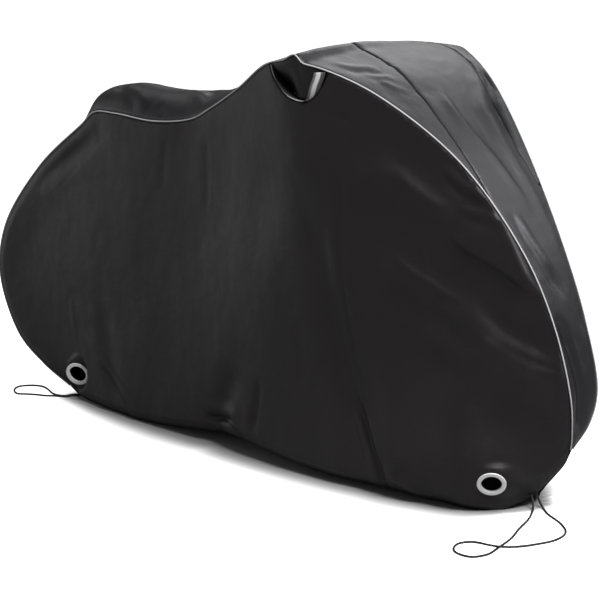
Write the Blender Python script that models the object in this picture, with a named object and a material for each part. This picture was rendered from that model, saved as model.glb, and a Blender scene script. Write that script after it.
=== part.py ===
"""A fitted cover for one bicycle: coated cloth hanging hollow from the handlebar, with nothing inside it.

+X is the bicycle's front, -Y the near side, +Z up, in metres. The origin is the underside of the centre
panel over the handlebar, where the bicycle holds the cover up. Tables give heights above the floor.
"""
from collections import namedtuple
from math import ceil, cos, pi, radians, sin

import bmesh
import bpy
import numpy as np
from mathutils import Vector
from mathutils.geometry import delaunay_2d_cdt

# Driving dimensions, in metres
TOP_HEIGHT = 1.031           # underside of the centre panel over the handlebar, above the floor
CLOTH = 0.002                # thickness of coated cloth with its seam allowance
PIPING_RADIUS = 0.002
SEAM_GAP = 0.0026            # from a seam line to the cloth edge beside the piping
STRIP_TIP_HEIGHT = 0.150     # the strip and its piping run out at this height in front
PLAIN_SEAM_GAP = 0.0003      # half the gap between two panels sewn without piping
PANEL_GRID = 0.060           # spacing of a side panel's facets
SEAM_STEP = 0.055            # spacing of the stations along a seam
STRIP_ROWS = 6
GUSSET_ROWS = 3
NEAR, FAR = -1, 1            # the sign of Y on each side
X, HEIGHT, HALF_WIDTH, CROWN, ROLL = range(5)      # the columns of a curve's points
SHARP = 35                   # degrees; an edge of a ring sharper than this stays sharp
TINY = 1e-9

# How a side panel takes up its folds and its seam
EDGE_CALM = 0.05             # folds fade out this close to the seam
SEAM_PULL = 0.15             # the seam draws the panel to itself over this distance
ROLL_RUN = 0.035             # the panel's edge rolls in over this distance
CROWN_POWER = 2.6            # how flat the strip's middle is across
FOLD_TAPER = 0.25            # a fold fades at each end, over this share of its length
FOLD_END = 0.2               # what is left of its rise there

# A side panel's facets
GRID_CLEAR = 0.5             # of a facet: how near the outline a place of the grid may come
GRID_ROW = 0.87              # of a facet: from one row of the grid to the next
RING_CLEAR = 0.025           # how near a ring's flat cloth it may come
SAME_PLACE = 1e-6

# The seam between a side panel and the top strip, from the rear hem over the top to the front hem.
# crown is how far the strip's middle stands proud of the seam; roll is how far the panel's edge turns in.
Seam = namedtuple("Seam", "name x height half_width crown roll")
SEAM_ROWS = (
    Seam("rear hem", -1.088, 0.024, 0.068, 0.006, 0.004),
    Seam("rear wheel, under", -1.200, 0.066, 0.064, 0.010, 0.010),
    Seam("rear wheel, low", -1.316, 0.141, 0.062, 0.012, 0.012),
    Seam("rear wheel, back", -1.394, 0.300, 0.060, 0.012, 0.012),
    Seam("rear wheel, upper back", -1.367, 0.440, 0.060, 0.012, 0.012),
    Seam("rear wheel, top", -1.203, 0.630, 0.062, 0.012, 0.010),
    Seam("behind the saddle", -1.014, 0.762, 0.069, 0.020, 0.004),
    Seam("saddle corner", -0.960, 0.799, 0.073, 0.052, 0.001),
    Seam("saddle, back", -0.862, 0.806, 0.086, 0.073, 0.0),
    Seam("saddle, middle", -0.692, 0.801, 0.100, 0.072, 0.0),
    Seam("saddle, nose", -0.545, 0.820, 0.106, 0.064, 0.0),
    Seam("valley", -0.459, 0.855, 0.122, 0.044, 0.0),
    Seam("rise", -0.311, 0.920, 0.170, 0.024, 0.0),
    Seam("behind the handlebar", -0.110, 1.004, 0.262, 0.016, 0.0),
    Seam("handlebar", 0.000, 1.014, 0.288, 0.018, 0.0),
    Seam("front of the handlebar", 0.070, 0.999, 0.260, 0.010, 0.0),
    Seam("brow", 0.185, 0.945, 0.207, 0.004, 0.0),
    Seam("slope", 0.357, 0.804, 0.124, 0.004, 0.0),
    Seam("lower slope", 0.511, 0.599, 0.072, 0.004, 0.0),
    Seam("front wheel, upper", 0.589, 0.440, 0.057, 0.005, 0.0),
    Seam("front wheel, front", 0.632, 0.285, 0.050, 0.008, 0.0),
    Seam("front wheel, low", 0.624, 0.207, 0.031, 0.006, 0.0),
    Seam("tip of the strip", 0.601, 0.152, 0.0048, 0.001, 0.0),
    Seam("front wheel, under", 0.583, 0.112, 0.0016, 0.0, 0.0),
    Seam("front hem", 0.530, 0.050, 0.0016, 0.0, 0.0),
)
NEAR_PEAK = 0.018            # the near handlebar end lifts its seam
PEAK_BEHIND, PEAK_AHEAD = 0.032, 0.013
PEAK_DROP = 0.070            # the side panel follows it down to here below the seam
PEAK_LEAST_HEIGHT = 0.900

# The hem of a side panel, from its rear corner to its front corner, and the panel's width between.
Rest = namedtuple("Rest", "name x height half_width")
HEM_ROWS = (
    Rest("rear corner", -1.052, 0.013, 0.084),
    Rest("rear hem", -0.982, 0.003, 0.100),
    Rest("behind the pedals", -0.889, 0.002, 0.120),
    Rest("rear of the middle", -0.688, 0.004, 0.145),
    Rest("lifted middle", -0.330, 0.040, 0.178),
    Rest("middle", -0.160, 0.026, 0.198),
    Rest("front of the middle", 0.003, 0.017, 0.205),
    Rest("ahead of the pedals", 0.200, 0.017, 0.198),
    Rest("front hem", 0.360, 0.010, 0.172),
    Rest("front turn", 0.430, 0.001, 0.142),
    Rest("under the front ring", 0.480, 0.006, 0.092),
    Rest("front corner", 0.512, 0.030, 0.030),
)
PANEL_ROWS = (
    Rest("rear wheel hub", -1.060, 0.360, 0.094),
    Rest("behind the frame", -0.800, 0.520, 0.108),
    Rest("rear of the frame", -0.800, 0.250, 0.124),
    Rest("frame", -0.520, 0.520, 0.122),
    Rest("ahead of the frame", -0.280, 0.520, 0.180),
    Rest("pedal", -0.520, 0.230, 0.148),
    Rest("ahead of the pedal", -0.280, 0.230, 0.190),
    Rest("under the stem", -0.180, 0.700, 0.196),
    Rest("under the handlebar", 0.000, 0.800, 0.266),
    Rest("fork, near", 0.030, 0.500, 0.226),
    Rest("fork, low", 0.030, 0.220, 0.202),
    Rest("front of the fork", 0.260, 0.560, 0.160),
    Rest("front of the fork, low", 0.260, 0.260, 0.164),
    Rest("front wheel", 0.450, 0.330, 0.104),
)

# The far panel is tucked in towards the front wheel at its lower front, by this share of its width
TUCK_X, TUCK_HEIGHT, TUCK_RADIUS, TUCK = 0.520, 0.080, 0.200, 0.55

# The main folds of a side panel, each a soft ridge or trough from one end to the other.
Fold = namedtuple("Fold", "name x height to_x to_height width rise")
FOLDS = (
    Fold("long drop", -0.020, 0.720, 0.150, 0.000, 0.060, -0.012),
    Fold("beside the long drop", 0.080, 0.640, 0.250, 0.010, 0.075, 0.012),
    Fold("shoulder", 0.130, 0.800, 0.380, 0.640, 0.060, 0.012),
    Fold("bow, upper", 0.160, 0.560, 0.470, 0.420, 0.060, 0.012),
    Fold("bow, lower", 0.260, 0.420, 0.600, 0.250, 0.060, 0.014),
    Fold("rear crease", -1.270, 0.560, -0.930, 0.740, 0.045, -0.008),
    Fold("hem lift", -0.430, 0.000, -0.300, 0.240, 0.060, -0.016),
    Fold("rear drop", -0.900, 0.300, -0.820, 0.020, 0.055, -0.009),
)

# The gussets that widen the strip over the handlebar: how far the centre panel reaches to each side.
# The cloth has slipped towards the far side, so the near gusset shows wider.
Reach = namedtuple("Reach", "x near far")
CENTRE_ROWS = (
    Reach(-0.459, 0.122, 0.122),
    Reach(-0.250, 0.122, 0.160),
    Reach(-0.020, 0.098, 0.215),
    Reach(0.050, 0.080, 0.222),
    Reach(0.120, 0.074, 0.208),
    Reach(0.200, 0.082, 0.165),
    Reach(0.290, 0.091, 0.121),
    Reach(0.350, 0.097, 0.092),
    Reach(0.440, 0.094, 0.094),
)
GUSSET_BACK, GUSSET_FRONT = -0.455, 0.420
GUSSET_LEAST_HEIGHT = 0.600
GUSSET_LEAST = 0.003         # a gusset narrower than this ends
GUSSET_TIP = 0.75            # its tip lies this far on towards the next station

# The vent: a U through the near panel's top edge, a tape hoop standing in it, and cloth behind
VENT_LEFT, VENT_RIGHT = -0.102, 0.070
VENT_MIDDLE = 0.010
VENT_BOTTOM = 0.924
VENT_POWER = 1.3
VENT_SEAM_LEAST, VENT_SEAM_RUN = 0.870, 0.300      # the stretch of seam that its top follows
VENT_SEAM_CLEAR = 0.008      # a place on the seam this near a corner of the U is left out
VENT_RIM_GAP = 0.0030
VENT_CLOTH_GAP = 0.0035
VENT_GRID = (11, 7)          # the facets of its cloth, along and down
VENT_GRID_CLEAR = 0.010
VENT_RECESS = 0.030          # how deep its cloth is dished
VENT_SHALLOW = 0.0035
DISH_DOWN, DISH_BACK = 1.3, 1.4                    # how soon the dish deepens downwards and rearwards
DISH_FRONT_SHARE = 0.35      # of the dish's depth, at its front
DISH_START = 0.040
BAND_REAR_LEAN, BAND_FRONT_LEAN = -0.10, 0.50
BAND_WIDTH = 0.028
BAND_STEPS = 20
BAND_ENDS = 0.025            # the hoop stops this share short of the seam at each end
BAND_PROUD_FROM, BAND_PROUD_OVER = 0.45, 0.40      # where along the U the hoop comes proud

# Lock-hole rings, clipped over the edge of a hole; the cloth lies flat around each of them
Eyelet = namedtuple("Eyelet", "name x height half_width far_half_width slope_x slope_z")
EYELETS = (
    Eyelet("rear", -1.028, 0.071, 0.088, 0.088, -0.50, 0.35),
    Eyelet("front", 0.478, 0.074, 0.136, 0.092, -0.80, 0.65),
)
RING_OUTER, RING_BARREL, RING_BORE = 0.0340, 0.0268, 0.0240
RING_FLANGE = 0.0020
RING_CLIP_GAP = 0.0004       # between a flange and the cloth
RING_CHAMFER = 0.0010
HOLE_RADIUS = 0.0276
FLAT_RADIUS, FLAT_BLEND = 0.040, 0.034
RING_SEGMENTS = 28

# Tie cords: the hand-chosen points of each loop, which starts and ends in the hem
CORD_RADIUS = 0.0023
CORD_REST = 0.0028           # height of a lying cord's centre line
CORD_STEP = 0.016
Knot = namedtuple("Knot", "x y height")

Paint = namedtuple("Paint", "color roughness metallic")
SIDE_CLOTH = Paint((0.020, 0.019, 0.020), 0.62, 0.0)
STRIP_CLOTH = Paint((0.026, 0.026, 0.028), 0.52, 0.0)
PIPING_SILVER = Paint((0.48, 0.48, 0.49), 0.45, 0.0)
TAPE_GREY = Paint((0.22, 0.22, 0.22), 0.50, 0.0)
RING_WHITE = Paint((0.80, 0.80, 0.80), 0.35, 0.0)
CORD_BLACK = Paint((0.012, 0.012, 0.012), 0.70, 0.0)


def clear_scene():
    for thing in list(bpy.data.objects):
        bpy.data.objects.remove(thing, do_unlink=True)


def material(name, paint):
    made = bpy.data.materials.new(name)
    made.use_nodes = True
    shader = made.node_tree.nodes["Principled BSDF"]
    shader.inputs["Base Color"].default_value = (*paint.color, 1.0)
    shader.inputs["Roughness"].default_value = paint.roughness
    shader.inputs["Metallic"].default_value = paint.metallic
    return made


def add_object(name, data, paint):
    thing = bpy.data.objects.new(name, data)
    bpy.context.collection.objects.link(thing)
    data.materials.append(material(name, paint))
    return thing


def add_sheet(name, points, faces, paint):
    """A cloth piece: a sheet of faces given its thickness to both sides."""
    mesh = bpy.data.meshes.new(name)
    mesh.from_pydata([tuple(point) for point in points], [], faces)
    mesh.validate()
    mesh.shade_smooth()
    sheet = add_object(name, mesh, paint)
    thick = sheet.modifiers.new("cloth", "SOLIDIFY")
    thick.thickness = CLOTH
    thick.offset = 0.0
    thick.use_even_offset = True
    return sheet


# ---- curves through rows -------------------------------------------------------------------------

def along_rows(rows, step):
    """Points every step or so along a smooth curve through the rows, by Catmull-Rom between them."""
    rows = np.array(rows, dtype=float)
    ends = np.vstack([2 * rows[0] - rows[1], rows, 2 * rows[-1] - rows[-2]])
    chords = np.linalg.norm(np.diff(ends[:, :2], axis=0), axis=1) ** 0.5
    points = []
    for i in range(len(rows) - 1):
        before, start, end, after = ends[i:i + 4]
        behind, here, ahead = chords[i:i + 3]
        slope = (end - start) / here
        leave = (slope + (start - before) / behind - (end - before) / (behind + here)) * here
        arrive = (slope + (after - end) / ahead - (after - start) / (here + ahead)) * here
        count = max(1, ceil(here**2 / step))
        for t in np.arange(count) / count:
            points.append((2 * t**3 - 3 * t**2 + 1) * start + (t**3 - 2 * t**2 + t) * leave
                          + (3 * t**2 - 2 * t**3) * end + (t**3 - t**2) * arrive)
    points.append(rows[-1])
    return np.array(points)


def smoothstep(value):
    value = np.clip(value, 0.0, 1.0)
    return value * value * (3 - 2 * value)


def height_to_z(height):
    return height - TOP_HEIGHT


# ---- the shape of a side -------------------------------------------------------------------------

SEAM = along_rows([row[1:] for row in SEAM_ROWS], SEAM_STEP)
STRIP_STATIONS = [i for i, row in enumerate(SEAM) if row[X] < 0 or row[HEIGHT] > STRIP_TIP_HEIGHT]
HEM = along_rows([row[1:] for row in HEM_ROWS], SEAM_STEP)


def thin_plate(distance):
    return distance**2 * np.log(distance + TINY)


def fit_width():
    """Weights of a thin-plate surface through the half-widths of the seam, the hem and the panel."""
    known = np.array([row[1:4] for row in SEAM_ROWS + HEM_ROWS + PANEL_ROWS + EYELETS], dtype=float)
    places, widths = known[:, :2], known[:, 2]
    apart = np.linalg.norm(places[:, None] - places[None], axis=2)
    plane = np.column_stack([np.ones(len(places)), places])
    system = np.block([[thin_plate(apart), plane], [plane.T, np.zeros((3, 3))]])
    weights = np.linalg.solve(system, np.append(widths, np.zeros(3)))
    return places, weights


WIDTH_PLACES, WIDTH_WEIGHTS = fit_width()


def smooth_width(place):
    apart = np.linalg.norm(WIDTH_PLACES - place, axis=1)
    return thin_plate(apart) @ WIDTH_WEIGHTS[:-3] + WIDTH_WEIGHTS[-3] + WIDTH_WEIGHTS[-2:] @ place


def distance_to_line(place, start, end):
    run = end - start
    t = np.clip(np.dot(place - start, run) / np.dot(run, run), 0.0, 1.0)
    return np.linalg.norm(place - start - t * run), t


def seam_distance(place):
    """How far a place is from the seam, and the seam's row there."""
    gaps = np.linalg.norm(SEAM[:, :2] - place, axis=1)
    nearest = int(gaps.argmin())
    best = (gaps[nearest], SEAM[nearest])
    for other in (nearest - 1, nearest + 1):
        if 0 <= other < len(SEAM):
            gap, t = distance_to_line(place, SEAM[nearest, :2], SEAM[other, :2])
            if gap < best[0]:
                best = (gap, SEAM[nearest] * (1 - t) + SEAM[other] * t)
    return best


def fold_rise(place):
    rise = 0.0
    for fold in FOLDS:
        start, end = np.array(fold[1:3]), np.array(fold[3:5])
        gap, t = distance_to_line(place, start, end)
        ends = smoothstep(t / FOLD_TAPER) * smoothstep((1 - t) / FOLD_TAPER)
        ends = FOLD_END + (1 - FOLD_END) * ends
        rise += fold.rise * ends * np.exp(-((gap / fold.width) ** 2) * 2)
    return rise


def half_width(x, height, side):
    """How far a side panel stands from the middle plane at a place in the side view."""
    place = np.array((x, height))
    gap, row = seam_distance(place)
    seam_width, roll = row[HALF_WIDTH], row[ROLL]
    width = smooth_width(place) + fold_rise(place) * smoothstep(gap / EDGE_CALM)
    width += (seam_width + roll - smooth_width(row[:2])) * (1 - smoothstep(gap / SEAM_PULL))
    width -= roll * (1 - smoothstep(gap / ROLL_RUN))
    if side == FAR:
        near_tuck = np.hypot(x - TUCK_X, height - TUCK_HEIGHT) / TUCK_RADIUS
        width = seam_width + (width - seam_width) * (1 - TUCK * np.exp(-(near_tuck**2)))
    for eyelet in EYELETS:
        offset = place - np.array((eyelet.x, eyelet.height))
        flat = 1 - smoothstep((ring_reach(eyelet, x, height) - FLAT_RADIUS) / FLAT_BLEND)
        level = eyelet_width(eyelet, side) + eyelet.slope_x * offset[0] + eyelet.slope_z * offset[1]
        width = width * (1 - flat) + level * flat
    return width


def ring_reach(eyelet, x, height):
    """How far a place is from a ring's centre, measured on the sloping cloth."""
    run, rise = x - eyelet.x, height - eyelet.height
    return np.sqrt(run**2 + rise**2 + (eyelet.slope_x * run + eyelet.slope_z * rise)**2)


def ring_line(eyelet, radius, count):
    """Places all around a ring's centre, a radius away on the sloping cloth."""
    line = []
    for i in range(count):
        run, rise = cos(2 * pi * i / count), sin(2 * pi * i / count)
        stretch = radius / ring_reach(eyelet, eyelet.x + run, eyelet.height + rise)
        line.append((eyelet.x + run * stretch, eyelet.height + rise * stretch))
    return line


def eyelet_width(eyelet, side):
    return eyelet.half_width if side == NEAR else eyelet.far_half_width


def peak(x, side):
    """The near handlebar end pushes its seam up; the far one doesn't."""
    run = PEAK_BEHIND if x < 0 else PEAK_AHEAD
    return NEAR_PEAK * np.exp(-((x / run) ** 2)) if side == NEAR else 0.0


def on_panel(x, height, side, inward=0.0):
    gap, _ = seam_distance(np.array((x, height)))
    lift = peak(x, side) * (1 - smoothstep(gap / PEAK_DROP)) if height > PEAK_LEAST_HEIGHT else 0.0
    return Vector((x, side * (half_width(x, height, side) - inward), height_to_z(height + lift)))


def on_seam(row, side):
    return Vector((row[X], side * row[HALF_WIDTH], height_to_z(row[HEIGHT] + peak(row[X], side))))


# ---- side panels ---------------------------------------------------------------------------------

def inset_line(line, gap):
    """The line moved by gap to the side that lies inside the panel."""
    run = np.gradient(line, axis=0)
    inward = np.column_stack([run[:, 1], -run[:, 0]]) / np.linalg.norm(run, axis=1)[:, None]
    return line + gap * inward


def top_seam():
    """The inset seam over the handlebar, which the vent hangs from."""
    line = inset_line(SEAM[:, :2], SEAM_GAP)
    return line[(line[:, HEIGHT] > VENT_SEAM_LEAST) & (np.abs(line[:, X]) < VENT_SEAM_RUN)]


TOP_SEAM = top_seam()


def vent_place(turn, grow):
    """A place on the U of the vent in the side view; turn runs from 0, rear top, to pi, front top."""
    run = (VENT_MIDDLE - VENT_LEFT if turn < pi / 2 else VENT_RIGHT - VENT_MIDDLE) + grow
    x = VENT_MIDDLE - run * cos(turn)
    top = seam_over(x)
    return np.array((x, top - (top - VENT_BOTTOM + grow) * sin(turn) ** VENT_POWER))


def seam_over(x):
    return np.interp(x, TOP_SEAM[:, X], TOP_SEAM[:, HEIGHT])


def panel_outline(side):
    seam = [tuple(place) for place in inset_line(SEAM[:, :2], SEAM_GAP)]
    if side == NEAR:
        cut = [tuple(vent_place(pi * i / BAND_STEPS, VENT_RIM_GAP)) for i in range(BAND_STEPS + 1)]
        behind = [place for place in seam if place[0] < cut[0][0] - VENT_SEAM_CLEAR]
        ahead = [place for place in seam if place[0] > cut[-1][0] + VENT_SEAM_CLEAR]
        seam = behind + cut + ahead
    return seam + [tuple(place) for place in HEM[::-1, :2]]


def inside(place, loop):
    """Whether a place lies inside a closed loop, by counting crossings."""
    x, height = place
    crossings = 0
    for (x0, h0), (x1, h1) in zip(loop, loop[1:] + loop[:1]):
        if (h0 > height) != (h1 > height) and x < x0 + (height - h0) * (x1 - x0) / (h1 - h0):
            crossings += 1
    return crossings % 2 == 1


def grid_places(outline, holes):
    """Places for facets: a staggered grid, clear of the outline and of each hole's circles."""
    edge = np.array(outline)
    low, high = edge.min(axis=0), edge.max(axis=0)
    places = []
    row = 0
    height = low[1] + PANEL_GRID / 2
    while height < high[1]:
        x = low[0] + (row % 2) * PANEL_GRID / 2
        while x < high[0]:
            clear = np.linalg.norm(edge - (x, height), axis=1).min() > PANEL_GRID * GRID_CLEAR
            free = all(ring_reach(eye, x, height) > FLAT_RADIUS + RING_CLEAR for eye in holes)
            if clear and free and inside((x, height), outline):
                places.append((x, height))
            x += PANEL_GRID
        row += 1
        height += PANEL_GRID * GRID_ROW
    return places


def fill(outline, holes, extra):
    """Triangles over an outline in the side view, with round holes left open."""
    places = list(outline)
    edges = [(i, (i + 1) % len(outline)) for i in range(len(outline))]
    for eye in holes:
        for radius, count in ((HOLE_RADIUS, RING_SEGMENTS), (FLAT_RADIUS, RING_SEGMENTS // 2)):
            first = len(places)
            places += ring_line(eye, radius, count)
            edges += [(first + i, first + (i + 1) % count) for i in range(count)]
    places += extra
    vectors = [Vector(place) for place in places]
    found, _, faces, *_ = delaunay_2d_cdt(vectors, edges, [list(range(len(outline)))], 1, SAME_PLACE)
    rim = HOLE_RADIUS * cos(pi / RING_SEGMENTS)
    kept = []
    for face in faces:
        middle = sum((found[i] for i in face), Vector((0, 0))) / len(face)
        if all(ring_reach(eye, middle.x, middle.y) > rim for eye in holes):
            kept.append(tuple(face))
    return [tuple(point) for point in found], kept


def side_panel(name, side):
    outline = panel_outline(side)
    places, faces = fill(outline, EYELETS, grid_places(outline, EYELETS))
    points = [on_panel(x, height, side) for x, height in places]
    if side == FAR:
        faces = [face[::-1] for face in faces]
    return add_sheet(name, points, faces, SIDE_CLOTH)


# ---- top strip -----------------------------------------------------------------------------------

def seam_normals():
    run = np.gradient(SEAM[:, :2], axis=0)
    return np.column_stack([-run[:, 1], run[:, 0]]) / np.linalg.norm(run, axis=1)[:, None]


NORMALS = seam_normals()


def on_strip(station, across):
    """A point of the strip: across runs from -1 at the near seam to 1 at the far seam."""
    row = SEAM[station]
    near, far = on_seam(row, NEAR), on_seam(row, FAR)
    point = near.lerp(far, (across + 1) / 2)
    rise = row[CROWN] * (1 - abs(across) ** CROWN_POWER)
    return point + Vector((NORMALS[station, 0], 0, NORMALS[station, 1])) * rise


def centre_share(station, side):
    """The share of the strip's half-width that the centre panel takes on one side."""
    row = SEAM[station]
    if row[HEIGHT] < GUSSET_LEAST_HEIGHT or not GUSSET_BACK < row[X] < GUSSET_FRONT:
        return 1.0
    reach = [(edge.near if side == NEAR else edge.far) for edge in CENTRE_ROWS]
    return min(1.0, np.interp(row[X], [edge.x for edge in CENTRE_ROWS], reach) / row[HALF_WIDTH])


def has_gusset(station, side):
    return (1 - centre_share(station, side)) * SEAM[station, HALF_WIDTH] > SEAM_GAP + GUSSET_LEAST


def grid_faces(rows, columns):
    return [(i * columns + j, i * columns + j + 1, (i + 1) * columns + j + 1, (i + 1) * columns + j)
            for i in range(rows - 1) for j in range(columns - 1)]


def centre_edge(station, side):
    gap = PLAIN_SEAM_GAP if has_gusset(station, side) else SEAM_GAP
    share = centre_share(station, side) if has_gusset(station, side) else 1.0
    return share - gap / SEAM[station, HALF_WIDTH]


def outer_edge(station):
    return 1 - SEAM_GAP / SEAM[station, HALF_WIDTH]


def strip_centre():
    points = []
    for station in STRIP_STATIONS:
        near, far = -centre_edge(station, NEAR), centre_edge(station, FAR)
        points += [on_strip(station, near + (far - near) * j / STRIP_ROWS) for j in range(STRIP_ROWS + 1)]
    return add_sheet("strip_centre", points, grid_faces(len(STRIP_STATIONS), STRIP_ROWS + 1), STRIP_CLOTH)


def gusset(name, side):
    """The cloth between the centre panel's edge and the seam, drawn to a tip at each end."""
    stations = [station for station in range(len(SEAM)) if has_gusset(station, side)]
    points = []
    for station in stations:
        inner = centre_share(station, side) + PLAIN_SEAM_GAP / SEAM[station, HALF_WIDTH]
        outer = outer_edge(station)
        points += [on_strip(station, side * (inner + (outer - inner) * j / GUSSET_ROWS))
                   for j in range(GUSSET_ROWS + 1)]
    columns = GUSSET_ROWS + 1
    faces = grid_faces(len(stations), columns)
    last_row = (len(stations) - 1) * columns
    for end, beyond, first in ((stations[0], stations[0] - 1, 0), (stations[-1], stations[-1] + 1, last_row)):
        here, there = (on_strip(at, side * outer_edge(at)) for at in (end, beyond))
        tip = len(points)
        points.append(here.lerp(there, GUSSET_TIP))
        fan = [(tip, first + j, first + j + 1) for j in range(GUSSET_ROWS)]
        faces += [face[::-1] for face in fan] if beyond < end else fan
    if side == NEAR:
        faces = [face[::-1] for face in faces]
    return add_sheet(name, points, faces, STRIP_CLOTH)


def tube(name, points, radius, paint, sides):
    """A round cord along its points, with closed ends."""
    curve = bpy.data.curves.new(name, "CURVE")
    curve.dimensions = "3D"
    spline = curve.splines.new("POLY")
    spline.points.add(len(points) - 1)
    for knot, point in zip(spline.points, points):
        knot.co = (*point, 1.0)
    curve.bevel_depth = radius
    curve.bevel_resolution = sides
    curve.use_fill_caps = True
    return add_object(name, curve, paint)


def piping(name, side):
    points = [on_seam(SEAM[station], side) for station in STRIP_STATIONS]
    return tube(name, points, PIPING_RADIUS, PIPING_SILVER, 1)


# ---- vent ----------------------------------------------------------------------------------------

def vent_cloth():
    """The dished cloth inside the hoop, up to the seam at its top."""
    rim = [tuple(vent_place(pi * i / BAND_STEPS, -VENT_CLOTH_GAP)) for i in range(BAND_STEPS + 1)]
    back, front = rim[0][0] + VENT_SEAM_CLEAR, rim[-1][0] - VENT_SEAM_CLEAR
    top = [tuple(place) for place in TOP_SEAM if back < place[0] < front]
    outline = rim + top[::-1]
    low, high = np.min(outline, axis=0), np.max(outline, axis=0)
    along, down = (np.linspace(low[i], high[i], VENT_GRID[i])[1:-1] for i in range(2))
    grid = [(x, height) for x in along for height in down]
    inner = [place for place in grid if vent_room(place, rim) > VENT_GRID_CLEAR]
    places, faces = fill(outline[::-1], (), inner)
    points = [on_panel(x, height, NEAR, vent_depth(x, height)) for x, height in places]
    return add_sheet("vent_cloth", points, faces, SIDE_CLOTH)


def vent_room(place, rim):
    """How far a place inside the vent is from the rim and the seam."""
    near = np.linalg.norm(np.array(rim) - place, axis=1).min()
    return min(near, seam_over(place[0]) - place[1]) if inside(place, rim) else -1.0


def vent_depth(x, height):
    """The dish: shallow at the seam and over the middle, deepest along the rear rim and the bottom."""
    top = seam_over(x)
    drop = smoothstep((top - height) / (top - VENT_BOTTOM) * DISH_DOWN)
    back = smoothstep((DISH_START - x) / (DISH_START - VENT_LEFT) * DISH_BACK)
    return VENT_SHALLOW + VENT_RECESS * drop * (DISH_FRONT_SHARE + (1 - DISH_FRONT_SHARE) * back)


def vent_band():
    """A stiff tape hoop standing in the U: flush with the panel at the rear, proud of it at the front."""
    points = []
    for i in range(BAND_STEPS + 1):
        share = BAND_ENDS + (1 - 2 * BAND_ENDS) * i / BAND_STEPS
        place = vent_place(pi * share, 0.0)
        proud = smoothstep((share - BAND_PROUD_FROM) / BAND_PROUD_OVER)
        lean = BAND_REAR_LEAN + (BAND_FRONT_LEAN - BAND_REAR_LEAN) * proud
        across = Vector((lean, 1.0, 0.0)).normalized() * BAND_WIDTH
        seat = on_panel(place[0], place[1], NEAR)
        points += [seat + across * (step - proud) for step in (0.0, 0.5, 1.0)]
    return add_sheet("vent_band", points, grid_faces(BAND_STEPS + 1, 3), TAPE_GREY)


# ---- lock-hole rings -----------------------------------------------------------------------------

def ring(name, eyelet, side):
    """A clip-in ring: two flanges and a barrel through the hole, its bore left open."""
    flange = CLOTH / 2 + RING_CLIP_GAP
    outside = flange + RING_FLANGE
    section = ((RING_BORE, -outside), (RING_OUTER - RING_CHAMFER, -outside),
               (RING_OUTER, RING_CHAMFER - outside), (RING_OUTER, -flange), (RING_BARREL, -flange),
               (RING_BARREL, flange), (RING_OUTER, flange), (RING_OUTER, outside), (RING_BORE, outside))
    points, faces = [], []
    count = len(section)
    for i in range(RING_SEGMENTS):
        turn = 2 * pi * i / RING_SEGMENTS
        points += [(radius * cos(turn), radius * sin(turn), depth) for radius, depth in section]
        here, after = i * count, (i + 1) % RING_SEGMENTS * count
        for j in range(count):
            k = (j + 1) % count
            faces.append((here + j, after + j, after + k, here + k))
    mesh = bpy.data.meshes.new(name)
    mesh.from_pydata(points, [], faces)
    mesh.validate()
    bm = bmesh.new()
    bm.from_mesh(mesh)
    bmesh.ops.recalc_face_normals(bm, faces=bm.faces)
    bm.to_mesh(mesh)
    bm.free()
    mesh.shade_smooth()
    mesh.set_sharp_from_angle(angle=radians(SHARP))
    thing = add_object(name, mesh, RING_WHITE)
    inward = Vector((eyelet.slope_x, -side, eyelet.slope_z))
    thing.location = eyelet_centre(eyelet, side)
    thing.rotation_euler = inward.to_track_quat("Z", "Y").to_euler()
    return thing


def eyelet_centre(eyelet, side):
    return Vector((eyelet.x, side * eyelet_width(eyelet, side), height_to_z(eyelet.height)))


# ---- tie cords -----------------------------------------------------------------------------------

CORD_FRONT = (
    Knot(0.508, -0.026, 0.0310), Knot(0.520, -0.035, 0.0160), Knot(0.525, -0.041, CORD_REST),
    Knot(0.564, -0.105, CORD_REST), Knot(0.597, -0.183, CORD_REST), Knot(0.628, -0.251, CORD_REST),
    Knot(0.647, -0.315, CORD_REST), Knot(0.661, -0.374, CORD_REST), Knot(0.646, -0.410, CORD_REST),
    Knot(0.608, -0.411, CORD_REST), Knot(0.582, -0.392, CORD_REST), Knot(0.567, -0.356, CORD_REST),
    Knot(0.581, -0.328, 0.0030), Knot(0.630, -0.329, 0.0070), Knot(0.657, -0.328, 0.0092),
    Knot(0.668, -0.308, 0.0060), Knot(0.688, -0.258, CORD_REST), Knot(0.705, -0.192, CORD_REST),
    Knot(0.690, -0.134, CORD_REST), Knot(0.641, -0.087, CORD_REST), Knot(0.570, -0.046, CORD_REST),
    Knot(0.536, -0.019, 0.0040), Knot(0.516, -0.009, 0.0180), Knot(0.512, -0.014, 0.0360),
)
CORD_REAR = (
    Knot(-1.052, -0.063, CORD_REST), Knot(-1.066, -0.077, CORD_REST), Knot(-1.068, -0.098, CORD_REST),
    Knot(-1.088, -0.109, CORD_REST), Knot(-1.115, -0.107, CORD_REST), Knot(-1.153, -0.090, CORD_REST),
    Knot(-1.187, -0.077, CORD_REST), Knot(-1.212, -0.077, CORD_REST), Knot(-1.237, -0.096, CORD_REST),
    Knot(-1.246, -0.121, CORD_REST), Knot(-1.227, -0.153, CORD_REST), Knot(-1.185, -0.176, CORD_REST),
    Knot(-1.163, -0.163, CORD_REST), Knot(-1.138, -0.148, CORD_REST), Knot(-1.114, -0.139, CORD_REST),
    Knot(-1.090, -0.121, CORD_REST), Knot(-1.061, -0.104, CORD_REST), Knot(-1.060, -0.083, CORD_REST),
    Knot(-1.049, -0.068, CORD_REST),
)


def cord(name, knots):
    route = along_rows([(knot.x, knot.y, knot.height) for knot in knots], CORD_STEP)
    route[:, 2] = height_to_z(np.maximum(route[:, 2], CORD_REST))
    return tube(name, route, CORD_RADIUS, CORD_BLACK, 2)


# ---- build ---------------------------------------------------------------------------------------

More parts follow.
